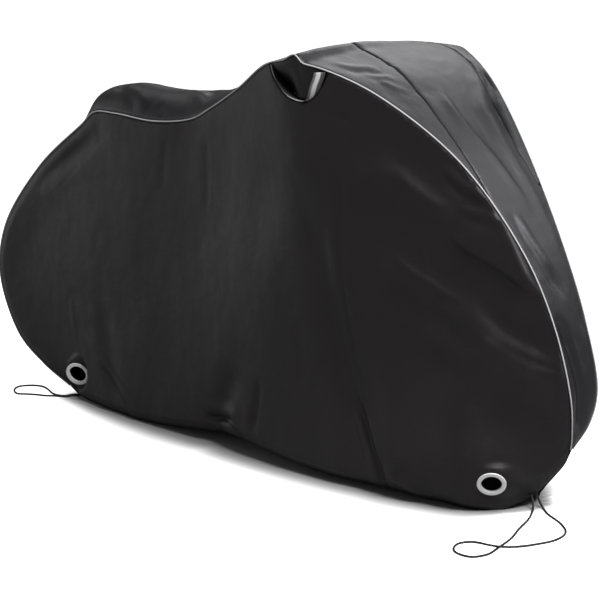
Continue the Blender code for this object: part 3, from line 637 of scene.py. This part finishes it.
def grid_places(outline, holes, facet):
    """Places for facets: a staggered grid, clear of the outline and of each hole."""
    edge = np.array(outline)
    low, high = edge.min(axis=0), edge.max(axis=0)
    rows = np.arange(low[1] + facet / 2, high[1], facet * GRID_ROW)
    columns = np.arange(low[0], high[0], facet)
    places = np.array([(x + (i % 2) * facet / 2, height) for i, height in enumerate(rows) for x in columns])
    places = places[inside(places, outline)]
    clear = line_distance(places, np.vstack([edge, edge[:1]]))[0] > facet * GRID_CLEAR
    for eye in holes:
        clear &= ring_reach(eye, places) > HOLE_RADIUS + facet * GRID_CLEAR
    return places[clear]


def fill(outline, holes, facet):
    """Triangles over an outline in the side view, with round holes left open."""
    places = list(outline)
    edges = [(i, (i + 1) % len(outline)) for i in range(len(outline))]
    count = ceil(2 * pi * HOLE_RADIUS / facet * RIM_FINER)
    for eye in holes:
        first = len(places)
        places += tuples(ring_line(eye, HOLE_RADIUS, count))
        edges += [(first + i, first + (i + 1) % count) for i in range(count)]
    places += tuples(grid_places(outline, holes, facet))
    vectors = [Vector(place) for place in places]
    found, _, faces, *_ = delaunay_2d_cdt(vectors, edges, [list(range(len(outline)))], 1, SAME_PLACE)
    found, faces = np.array(tuples(found)), np.array(faces)
    middle = found[faces].mean(axis=1)
    rim = HOLE_RADIUS * cos(pi / count)
    for eye in holes:
        kept = ring_reach(eye, middle) > rim
        faces, middle = faces[kept], middle[kept]
    return found, faces


def side_panel(name, side, look):
    places, faces = fill(panel_outline(side), EYELETS, FINE)
    if side == FAR:
        faces = faces[:, ::-1]
    return add_cloth(name, on_panel(places, side), faces, places, look)


# ---- top strip

NORMALS = outward(SEAM[:, :2])


def centre_share(side):
    """The share of the strip's half-width that the centre panel takes on one side, at each station."""
    reach = [(edge.near if side == NEAR else edge.far) for edge in CENTRE_ROWS]
    share = np.interp(SEAM[:, X], [edge.x for edge in CENTRE_ROWS], reach) / SEAM[:, HALF]
    away = (SEAM[:, HEIGHT] < GUSSET_LEAST_HEIGHT) | (SEAM[:, X] < GUSSET_BACK) | (SEAM[:, X] > GUSSET_FRONT)
    narrow = (1 - share) * SEAM[:, HALF] < SEAM_GAP + GUSSET_LEAST
    share[away | narrow] = 1.0
    return share


SHARES = {NEAR: centre_share(NEAR), FAR: centre_share(FAR)}


def on_strip(stations, across):
    """Points of the strip: across runs from -1 at the near seam to 1 at the far seam."""
    rows = SEAM[stations]
    half = rows[:, HALF]
    near, far = (rows[:, HEIGHT] + peak(rows[:, X], side) for side in (NEAR, FAR))
    share = (across + 1) / 2
    height = near + (far - near) * share
    places = np.c_[RUN[stations], across * half]
    rise = rows[:, CROWN] * (1 - np.abs(across) ** CROWN_POWER)
    gap = (1 - np.abs(across)) * half
    calm = ease(gap / STRIP_CALM)
    slack = noise_field(places, STRIP_SLACK_SIZE, STRIP_SLACK_CUT)
    rise += fold_rise(places, STRIP_FOLDS) * calm
    rise += STRIP_SLACK_RISE * slack * ease(gap / STRIP_SLACK_CALM)
    rise += WRINKLE_RISE * noise_field(places, WRINKLE_SIZE, STRIP_WRINKLE_CUT) * calm
    rise += pucker(RUN[stations], gap, STRIP_SEAM_CUT) - SEAM_DIP * np.exp(-gap / SEAM_DIP_RUN)
    for side in (NEAR, FAR):
        seam = side * SHARES[side][stations] * half
        sewn = SHARES[side][stations] < 1.0
        apart = np.abs(across * half - seam)
        rise -= sewn * GROOVE_DIP * np.exp(-apart / GROOVE_RUN)
        rise += sewn * GUSSET_PUCKER * pucker(RUN[stations], apart, GUSSET_CUT + side)
    normal = NORMALS[stations]
    points = np.c_[rows[:, X] + normal[:, 0] * rise, across * half, height + normal[:, 1] * rise - TOP_HEIGHT]
    return points, places


def grid_faces(rows, columns):
    return [(i * columns + j, i * columns + j + 1, (i + 1) * columns + j + 1, (i + 1) * columns + j)
            for i in range(rows - 1) for j in range(columns - 1)]


def strip_piece(name, low, high, stations, columns, look):
    """A piece of the strip between two edges, given at each of its stations."""
    across = low[:, None] + (high - low)[:, None] * np.linspace(0.0, 1.0, columns)
    points, weave = on_strip(np.repeat(stations, columns), across.ravel())
    return add_cloth(name, points, grid_faces(len(stations), columns), weave, look)


def centre_edge(side):
    gap = np.where(SHARES[side] < 1.0, PLAIN_SEAM_GAP, SEAM_GAP)
    return SHARES[side] - gap / SEAM[:, HALF]


def strip(look):
    near, far = (centre_edge(side)[STRIP_STATIONS] for side in (NEAR, FAR))
    pieces = [strip_piece("strip_centre", -near, far, STRIP_STATIONS, CENTRE_COLUMNS, look)]
    for side in (NEAR, FAR):
        name = "gusset_" + SIDE_NAMES[side]
        stations = np.flatnonzero(SHARES[side] < 1.0)
        inner = side * (SHARES[side][stations] + PLAIN_SEAM_GAP / SEAM[stations, HALF])
        outer = side * (1 - SEAM_GAP / SEAM[stations, HALF])
        low, high = (inner, outer)[::side]
        pieces.append(strip_piece(name, low, high, stations, GUSSET_COLUMNS, look))
    return pieces


def tube(name, points, radius, look, sides=3):
    curve = bpy.data.curves.new(name, "CURVE")
    curve.dimensions = "3D"
    spline = curve.splines.new("POLY")
    spline.points.add(len(points) - 1)
    for knot, point in zip(spline.points, points):
        knot.co = (*point, 1.0)
    curve.bevel_depth = radius
    curve.bevel_resolution = sides
    curve.use_fill_caps = True
    return add_object(name, curve, look)


def piping(name, side, look):
    heights = SEAM[:, HEIGHT] + peak(SEAM[:, X], side) - TOP_HEIGHT
    points = np.c_[SEAM[:, X], side * SEAM[:, HALF], heights][STRIP_STATIONS]
    return tube(name, points, PIPING_RADIUS, look)


# ---- stitching

def stitch_row(line, beside, out):
    """Points and faces of the stitches along a line on the cloth; beside runs next to it on that cloth."""
    along = way_along(line)
    starts = np.arange(0.0, along[-1] - STITCH_PITCH, STITCH_PITCH)

    def at(path, lengths):
        return np.column_stack([np.interp(lengths, along, column) for column in path.T])

    back, front = at(line, starts), at(line, starts + STITCH_LENGTH)
    normal = np.cross(front - back, at(beside, starts) - back)
    normal /= norm(normal, axis=1)[:, None]
    normal *= np.sign((normal * at(out, starts)).sum(axis=1))[:, None]
    aside = np.cross(normal, front - back)
    aside *= THREAD_RADIUS / norm(aside, axis=1)[:, None]
    surface = normal * CLOTH / 2
    rings = []
    for share, sink in ((0.0, -1.0), (0.25, 0.6), (0.75, 0.6), (1.0, -1.0)):
        centre = back + (front - back) * share + surface + normal * THREAD_RADIUS * sink
        up = normal * THREAD_RADIUS
        rings.append(np.stack([centre + up, centre + aside, centre - up, centre - aside], axis=1))
    points = np.stack(rings, axis=1).reshape(-1, 3)
    sides = [(4 * i + j, 4 * i + (j + 1) % 4, 4 * i + (j + 1) % 4 + 4, 4 * i + j + 4)
             for i in range(len(rings) - 1) for j in range(4)]
    one = np.array(sides + [(3, 2, 1, 0), (12, 13, 14, 15)])
    faces = (one[None] + 4 * len(rings) * np.arange(len(starts))[:, None, None]).reshape(-1, 4)
    return points, faces


def panel_rows(side):
    """The lines of stitches on a side panel: one along its piping, two along its turned hem."""
    piped = inset_line(SEAM[:, :2], PIPING_STITCH)[2:-2]
    lines = [(piped, 1)]
    if side == NEAR:
        behind = piped[:, X] < VENT_LEFT - VENT_STITCH_CLEAR
        lines = [(piped[behind], 1), (piped[piped[:, X] > VENT_RIGHT + VENT_STITCH_CLEAR], 1)]
    lines += [(inset_line(HEM[:, :2], -gap)[2:-2], -1) for gap in (HEM_STITCH, HEM_BAND)]
    for line, way in lines:
        out = np.tile((0.0, float(side), 0.0), (len(line), 1))
        yield on_panel(line, side), on_panel(inset_line(line, way * FINE / 2), side), out


def gusset_rows(side):
    """The lines of stitches beside a gusset's seam: one on the gusset, one on the centre panel."""
    stations = np.flatnonzero(SHARES[side] < 1.0)[2:-2]
    half = SEAM[stations, HALF]
    out = np.c_[NORMALS[stations, 0], np.zeros(len(stations)), NORMALS[stations, 1]]
    for gap in (-GUSSET_STITCH, GUSSET_STITCH):
        lines = [on_strip(stations, side * (SHARES[side][stations] + reach / half))[0]
                 for reach in (gap, gap + FINE / 2)]
        yield lines[0], lines[1], out


def stitching(name, rows, look):
    points, faces, first = [], [], 0
    for row in rows:
        more, loops = stitch_row(*row)
        points.append(more)
        faces.append(loops + first)
        first += len(more)
    add_piece(name, add_mesh(name, np.vstack(points), np.vstack(faces)), look)


# ---- vent

def vent_depth(places):
    """The dish: shallow at the seam and over the middle, deepest along the rear rim and the bottom."""
    top = seam_over(places[:, 0])
    drop = ease((top - places[:, 1]) / (top - VENT_BOTTOM) * DISH_DOWN)
    back = ease((DISH_START - places[:, 0]) / (DISH_START - VENT_LEFT) * DISH_BACK)
    ridge = RIDGE * drop * np.exp(-(((places[:, 0] - RIDGE_X) / RIDGE_WIDTH) ** 2))
    return VENT_SHALLOW + VENT_RECESS * drop * (DISH_FRONT_SHARE + (1 - DISH_FRONT_SHARE) * back) - ridge


def vent_cloth(look):
    rim = vent_rim(-VENT_CLOTH_GAP)
    back, front = rim[0][0] + VENT_SEAM_CLEAR, rim[-1][0] - VENT_SEAM_CLEAR
    top = [tuple(place) for place in TOP_SEAM if back < place[0] < front]
    places, faces = fill((rim + top[::-1])[::-1], (), FINE / 2)
    points = on_panel(places, NEAR, vent_depth(places), detail=False)
    return add_cloth("vent_cloth", points, faces, places, look)


def vent_band(look):
    """A stiff tape hoop standing in the U: flush with the panel at the rear, proud of it at the front; its
    rear part is painted dark as shade by shifting the stripe.
    """
    shares = BAND_ENDS + (1 - 2 * BAND_ENDS) * np.arange(BAND_STEPS + 1) / BAND_STEPS
    seats = on_panel([vent_place(pi * share, 0.0) for share in shares], NEAR, detail=False)
    points, weave = [], []
    for share, seat in zip(shares, seats):
        proud = ease((share - BAND_PROUD_FROM) / BAND_PROUD_OVER)
        # painted shade: the stripe shifts across so the hoop's rear shows the tape's darkest grey, with a
        # thin light line
        painted_shade_shift = np.interp(share, *zip(*BAND_PAINTED_SHADE_SHIFT))
        lean = BAND_REAR_LEAN + (BAND_FRONT_LEAN - BAND_REAR_LEAN) * proud
        across = Vector((lean, 1.0, 0.0)).normalized() * BAND_WIDTH
        for step in np.linspace(0.0, 1.0, BAND_ROWS + 1):
            points.append(Vector(seat) + across * (step - proud))
            weave.append((share, step + painted_shade_shift))
    faces = grid_faces(BAND_STEPS + 1, BAND_ROWS + 1)
    return add_cloth("vent_band", points, faces, np.array(weave), look)


# ---- lock-hole rings and cords

def rounded(x, y, start):
    """A quarter of a flange's rounded edge about x, y, from a start in degrees."""
    turns = np.radians(np.linspace(start, start + 90, 5))
    return [(x + RING_ROUND * cos(turn), y + RING_ROUND * sin(turn)) for turn in turns]


def ring(eyelet, side, look):
    """A clip-in ring: two rounded flanges and a barrel through the hole, its bore left open."""
    name = f"eyelet_{eyelet.name}_{SIDE_NAMES[side]}"
    flange = CLOTH / 2 + RING_CLIP_GAP
    inner, outer, face = RING_BORE + RING_ROUND, RING_OUTER - RING_ROUND, flange + RING_FLANGE - RING_ROUND
    section = rounded(inner, -face, 180) + rounded(outer, -face, 270)
    section += [(RING_OUTER, -flange), (RING_BARREL, -flange), (RING_BARREL, flange), (RING_OUTER, flange)]
    section += rounded(outer, face, 0) + rounded(inner, face, 90)
    count, points, faces = len(section), [], []
    for i in range(RING_SEGMENTS):
        turn = 2 * pi * i / RING_SEGMENTS
        points += [(radius * cos(turn), radius * sin(turn), depth) for radius, depth in section]
        here, after = i * count, (i + 1) % RING_SEGMENTS * count
        for j in range(count):
            beyond = (j + 1) % count
            faces.append((here + j, after + j, after + beyond, here + beyond))
    centre = Vector((eyelet.x, side * eyelet_width(eyelet, side), eyelet.height - TOP_HEIGHT))
    inward = Vector((eyelet.slope_x, -side, eyelet.slope_z))
    place = Matrix.Translation(centre) @ inward.to_track_quat("Z", "Y").to_matrix().to_4x4()
    mesh = add_mesh(name, [place @ Vector(point) for point in points], faces)
    mesh.set_sharp_from_angle(angle=radians(RING_SHARP))
    return add_object(name, mesh, look)


def cord(name, knots, look):
    route = along_rows([(*knot, CORD_REST)[:3] for knot in written(knots)], CORD_STEP)
    route[:, 2] = np.maximum(route[:, 2], CORD_REST) - TOP_HEIGHT
    piece = tube(name, route, CORD_RADIUS, look, 4)
    float(way_along(route)[-1])


# ---- materials

def shader(name):
    made = bpy.data.materials.new(name + "_look")
    made.use_nodes = True
    return made, made.node_tree, made.node_tree.nodes["Principled BSDF"]


def give(made, values):
    """Sets a node's inputs, or its own properties where no input has that name."""
    for key, value in values.items():
        if key in made.inputs:
            made.inputs[key].default_value = value
        else:
            setattr(made, key, value)


def node(tree, kind, **values):
    made = tree.nodes.new("ShaderNode" + kind)
    give(made, values)
    return made


def wire(source, output, *targets):
    """Links one output to each target, a node and the name or number of its input."""
    for target, socket in targets:
        source.id_data.links.new(source.outputs[output], target.inputs[socket])


def ramp(tree, *marks):
    """A colour ramp through marks, each a position and a colour."""
    made = node(tree, "ValToRGB")
    elements = made.color_ramp.elements
    while len(elements) < len(marks):
        elements.new(0.5)
    for element, (position, color) in zip(elements, marks):
        element.position = position
        element.color = (*color, 1.0)
    return made


def relief(source, output, strength, distance):
    """A bump that follows one output of a node."""
    made = node(source.id_data, "Bump", Strength=strength, Distance=distance)
    wire(source, output, (made, "Height"))
    return made


def bands(tree, way, scale, **values):
    return node(tree, "TexWave", wave_type="BANDS", bands_direction=way, Scale=scale, **values)


def woven(name, color, light_color, roughness, specular, gloss_tint):
    """Coated woven cloth: fine threads both ways, small wrinkles, and uneven tone and gloss."""
    made, tree, surface = shader(name)
    lay = node(tree, "Attribute", attribute_name="lay")
    blotch = node(tree, "TexNoise", Scale=7.0, Detail=3.0)
    crumple = node(tree, "TexNoise", Scale=26.0, Detail=5.0, Roughness=0.6)
    warp, weft = (bands(tree, way, 260.0, Distortion=0.6, Detail=1.0) for way in ("X", "Y"))
    wire(lay, "Vector", *((each, "Vector") for each in (blotch, crumple, warp, weft)))
    tone = ramp(tree, (0.3, color), (0.75, light_color))
    wire(blotch, "Fac", (tone, "Fac"))
    wire(tone, "Color", (surface, "Base Color"))
    rough = node(tree, "MapRange")
    give(rough, {"To Min": roughness - GLOSS_SPREAD, "To Max": roughness + GLOSS_SPREAD})
    wire(crumple, "Fac", (rough, "Value"))
    wire(rough, "Result", (surface, "Roughness"))
    threads = node(tree, "Math", operation="MAXIMUM")
    wire(warp, "Fac", (threads, 0))
    wire(weft, "Fac", (threads, 1))
    fine = relief(threads, "Value", 0.25, 0.0004)
    small = relief(crumple, "Fac", 0.35, 0.0035)
    wire(fine, "Normal", (small, "Normal"))
    wire(small, "Normal", (surface, "Normal"))
    give(surface, {"Specular IOR Level": specular, "Specular Tint": (*gloss_tint, 1.0)})
    return made


def striped_tape():
    """Grey tape with a silver reflective middle: its stripe runs along it, by the place across. Places
    shifted past the far edge take its darkest grey, as painted shade.
    """
    made, tree, surface = shader("tape")
    lay = node(tree, "Attribute", attribute_name="lay")
    part = node(tree, "SeparateXYZ")
    ribs = bands(tree, "X", 150.0)
    wire(lay, "Vector", (part, "Vector"), (ribs, "Vector"))
    stripe = ramp(tree, *((position, (grey, grey, grey)) for position, grey in TAPE_GREYS))
    wire(part, "Y", (stripe, "Fac"))
    wire(stripe, "Color", (surface, "Base Color"))
    wire(relief(ribs, "Fac", 0.3, 0.0004), "Normal", (surface, "Normal"))
    give(surface, {"Roughness": 0.42})
    return made


def speckled(name, color, light_color, roughness, scale, bump_height):
    """A surface with fine uneven tone and relief: moulded plastic, braided cord or reflective piping."""
    made, tree, surface = shader(name)
    where = node(tree, "TexCoord")
    grain = node(tree, "TexNoise", Scale=scale, Detail=3.0)
    wire(where, "Object", (grain, "Vector"))
    tone = ramp(tree, (0.0, color), (1.0, light_color))
    wire(grain, "Fac", (tone, "Fac"))
    wire(tone, "Color", (surface, "Base Color"))
    wire(relief(grain, "Fac", 0.4, bump_height), "Normal", (surface, "Normal"))
    give(surface, {"Roughness": roughness})
    return made


# ---- stage, light and camera

CAMERA_AZIMUTH, CAMERA_PITCH = radians(44.0), radians(11.75)
CAMERA_DISTANCE, CAMERA_HEIGHT, CAMERA_LENS = 5.55, 1.53, 134.7
CAMERA_SHIFT_X = 0.262  # the middle of the orbit stands this far behind the handlebar
CAMERA_SENSOR = 36.0  # millimetres, as is the lens

FLOOR_SEEN, FLOOR_GIVES = 0.95, 0.35  # how white it is to the eye, and to its own light
FLOOR_GLOW = 1.05  # how far the open floor is overexposed to the eye
FLOOR_CELL = 0.02
SHADOW_FROM = 0.006  # the painted contact shadow: full to here from the hem
SHADOW_TO = (0.06, 0.15, 0.13, 0.05)  # and gone from here: the rear, the middle, the ring, the corner
SHADOW_X = (-1.1, -0.6, 0.44, 0.5)
FLOOR_NEAR_BOX = ((-1.6, 0.9), (-0.6, 0.6))
FLOOR_FAR = 30.0
SURROUND_SEEN, SURROUND_GIVES = 1.3, 0.1


def toward(azimuth, elevation):
    """A direction: azimuth 0 is the near side, and a quarter turn is ahead of the bicycle."""
    return Vector((sin(azimuth) * cos(elevation), -cos(azimuth) * cos(elevation), sin(elevation)))


def painted_shadow_openness(places):
    """0 under the cover and in its painted contact shadow, 1 out on the open floor, from the two hems' loop:
    the mask that paints that shadow on the floor.
    """
    near, far = (on_panel(HEM[:, :2], side, detail=False)[:, :2] for side in (NEAR, FAR))
    loop = np.vstack([near, far[::-1]])
    gap = line_distance(places, np.vstack([loop, loop[:1]]))[0]
    gap[inside(places, loop)] = 0.0
    reach = np.interp(places[:, 0], SHADOW_X, SHADOW_TO)
    return ease((gap - SHADOW_FROM) / (reach - SHADOW_FROM))


def stage():
    """A sheet of paper, finely faceted near the object, where it carries a painted contact shadow."""
    (west, east), (south, north) = FLOOR_NEAR_BOX
    across = np.concatenate([[-FLOOR_FAR], np.arange(west, east, FLOOR_CELL), [FLOOR_FAR]])
    deep = np.concatenate([[-FLOOR_FAR], np.arange(south, north, FLOOR_CELL), [FLOOR_FAR]])
    places = np.array([(x, y) for x in across for y in deep])
    points = np.c_[places, np.full(len(places), -TOP_HEIGHT)]
    floor = bpy.data.meshes.new("floor")
    floor.from_pydata(tuples(points), [], grid_faces(len(across), len(deep)))
    # the open attribute paints the contact shadow into the floor's colour and glow
    clear = floor.attributes.new("open", "FLOAT", "POINT")
    clear.data.foreach_set("value", painted_shadow_openness(places).astype(np.float32))
    floor.materials.append(white_sweep())
    add_thing("floor", floor)


def white_sweep():
    """The floor's paper: overexposed to the eye away from the object, but giving back less light. Near the
    hem its colour and glow fall away by the open attribute: a painted contact shadow.
    """
    made, tree, surface = shader("floor")
    path = node(tree, "LightPath")
    clear = node(tree, "Attribute", attribute_name="open")
    seen, glow, strength = (node(tree, "Math", operation="MULTIPLY") for _ in range(3))
    shade = node(tree, "Math", operation="ADD")
    for step, value in ((glow, FLOOR_SEEN - FLOOR_GIVES), (shade, FLOOR_GIVES), (strength, FLOOR_GLOW)):
        step.inputs[1].default_value = value
    # painted shade: the open attribute darkens the floor's colour and glow near the hem
    wire(clear, "Fac", (seen, 0))
    wire(path, "Is Camera Ray", (seen, 1))
    wire(seen, "Value", (glow, 0), (strength, 0))
    wire(glow, "Value", (shade, 0))
    wire(shade, "Value", (surface, "Base Color"))
    wire(strength, "Value", (surface, "Emission Strength"))
    give(surface, {"Emission Color": (1.0, 1.0, 1.0, 1.0), "Roughness": 0.9, "Specular IOR Level": 0.0})
    return made


def backdrop():
    """A white surround, brighter to the eye than the light it gives."""
    world = bpy.data.worlds.new("surround")
    bpy.context.scene.world = world
    world.use_nodes = True
    tree = world.node_tree
    light, path = tree.nodes["Background"], node(tree, "LightPath")
    strength = node(tree, "MapRange")
    give(strength, {"To Min": SURROUND_GIVES, "To Max": SURROUND_SEEN})
    wire(path, "Is Camera Ray", (strength, "Value"))
    wire(strength, "Result", (light, "Strength"))
    give(light, {"Color": (1.0, 1.0, 1.0, 1.0)})


# Softboxes around LIT_MIDDLE: azimuth 0 stands on the near side, 90 ahead of the bicycle, in degrees
Softbox = namedtuple("Softbox", "name azimuth elevation distance width height radiance")
SOFTBOXES = (
    Softbox("key", 80, 46, 5.0, 2.2, 2.2, 22.0),
    Softbox("left", -77, 3, 4.0, 1.0, 2.6, 2.0),
    Softbox("left_of_camera", -20, 5, 4.5, 2.2, 2.6, 1.1),
    Softbox("behind_left", -152, 41, 4.5, 2.6, 1.8, 3.5),
    Softbox("behind_right", 142, 36, 4.5, 3.0, 2.4, 2.2),
    Softbox("over_the_saddle", -100, 42, 4.0, 1.2, 1.2, 1.4),
)
LIT_MIDDLE = (-0.35, 0.0, -0.45)


def softbox(box):
    light = bpy.data.lights.new(box.name, "AREA")
    light.shape = "RECTANGLE"
    light.size, light.size_y = box.width, box.height
    light.energy = box.radiance * pi * box.width * box.height
    away = toward(radians(box.azimuth), radians(box.elevation))
    thing = add_thing(box.name, light)
    thing.location = Vector(LIT_MIDDLE) + away * box.distance
    thing.rotation_euler = (-away).to_track_quat("-Z", "Y").to_euler()
    thing.visible_camera = False


def camera():
    back = toward(CAMERA_AZIMUTH, CAMERA_PITCH)
    right = Vector((cos(CAMERA_AZIMUTH), sin(CAMERA_AZIMUTH), 0.0))
    turn = Matrix((right, back.cross(right), back)).transposed().to_4x4()
    place = Vector((sin(CAMERA_AZIMUTH) * CAMERA_DISTANCE - CAMERA_SHIFT_X,
                    -cos(CAMERA_AZIMUTH) * CAMERA_DISTANCE, CAMERA_HEIGHT - TOP_HEIGHT))
    lens = bpy.data.cameras.new("camera")
    lens.lens = CAMERA_LENS
    lens.sensor_width = CAMERA_SENSOR
    thing = add_thing("camera", lens)
    thing.matrix_world = Matrix.Translation(place) @ turn
    bpy.context.scene.camera = thing


# ---- build

def build():
    side_cloth = woven("side_cloth", (0.0046, 0.0042, 0.0044), (0.006, 0.0055, 0.0057), 0.49, 0.45,
                       (1.0, 0.93, 0.965))
    # The strip is the same black fabric as the sides; its colour here is about twice as light, painted light
    # for its top facing the lamps, while the sides keep the darker colour.
    strip_cloth = woven("strip_cloth", (0.0095, 0.0095, 0.0104), (0.012, 0.012, 0.0131), 0.38, 0.5,
                        (0.94, 0.93, 1.0))
    silver = speckled("piping", (0.4, 0.4, 0.41), (0.55, 0.55, 0.56), 0.45, 900.0, 0.0002)
    plastic = speckled("ring", (0.96, 0.96, 0.96), (0.99, 0.99, 0.99), 0.34, 60.0, 0.0002)
    braid = speckled("cord", (0.006, 0.006, 0.006), (0.02, 0.02, 0.02), 0.7, 1400.0, 0.0004)
    cord("cord_front", CORD_FRONT, braid)
    cord("cord_rear", CORD_REAR, braid)
    sides = {side: side_panel("side_" + SIDE_NAMES[side], side, side_cloth) for side in (NEAR, FAR)}
    strips = strip(strip_cloth)
    for side in (NEAR, FAR):
        piping("piping_" + SIDE_NAMES[side], side, silver)
    inner = vent_cloth(side_cloth)
    band = vent_band(striped_tape())
    rings = {side: [ring(eyelet, side, plastic) for eyelet in EYELETS] for side in (NEAR, FAR)}
    for side, label in SIDE_NAMES.items():
        stitching("stitches_side_" + label, panel_rows(side), braid)
        stitching("stitches_strip_" + label, gusset_rows(side), braid)
    for side, panel in sides.items():
        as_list(rings[side])
    stage()
    backdrop()
    for box in SOFTBOXES:
        softbox(box)
    camera()
    bpy.context.scene.view_settings.view_transform = "Standard"


build()
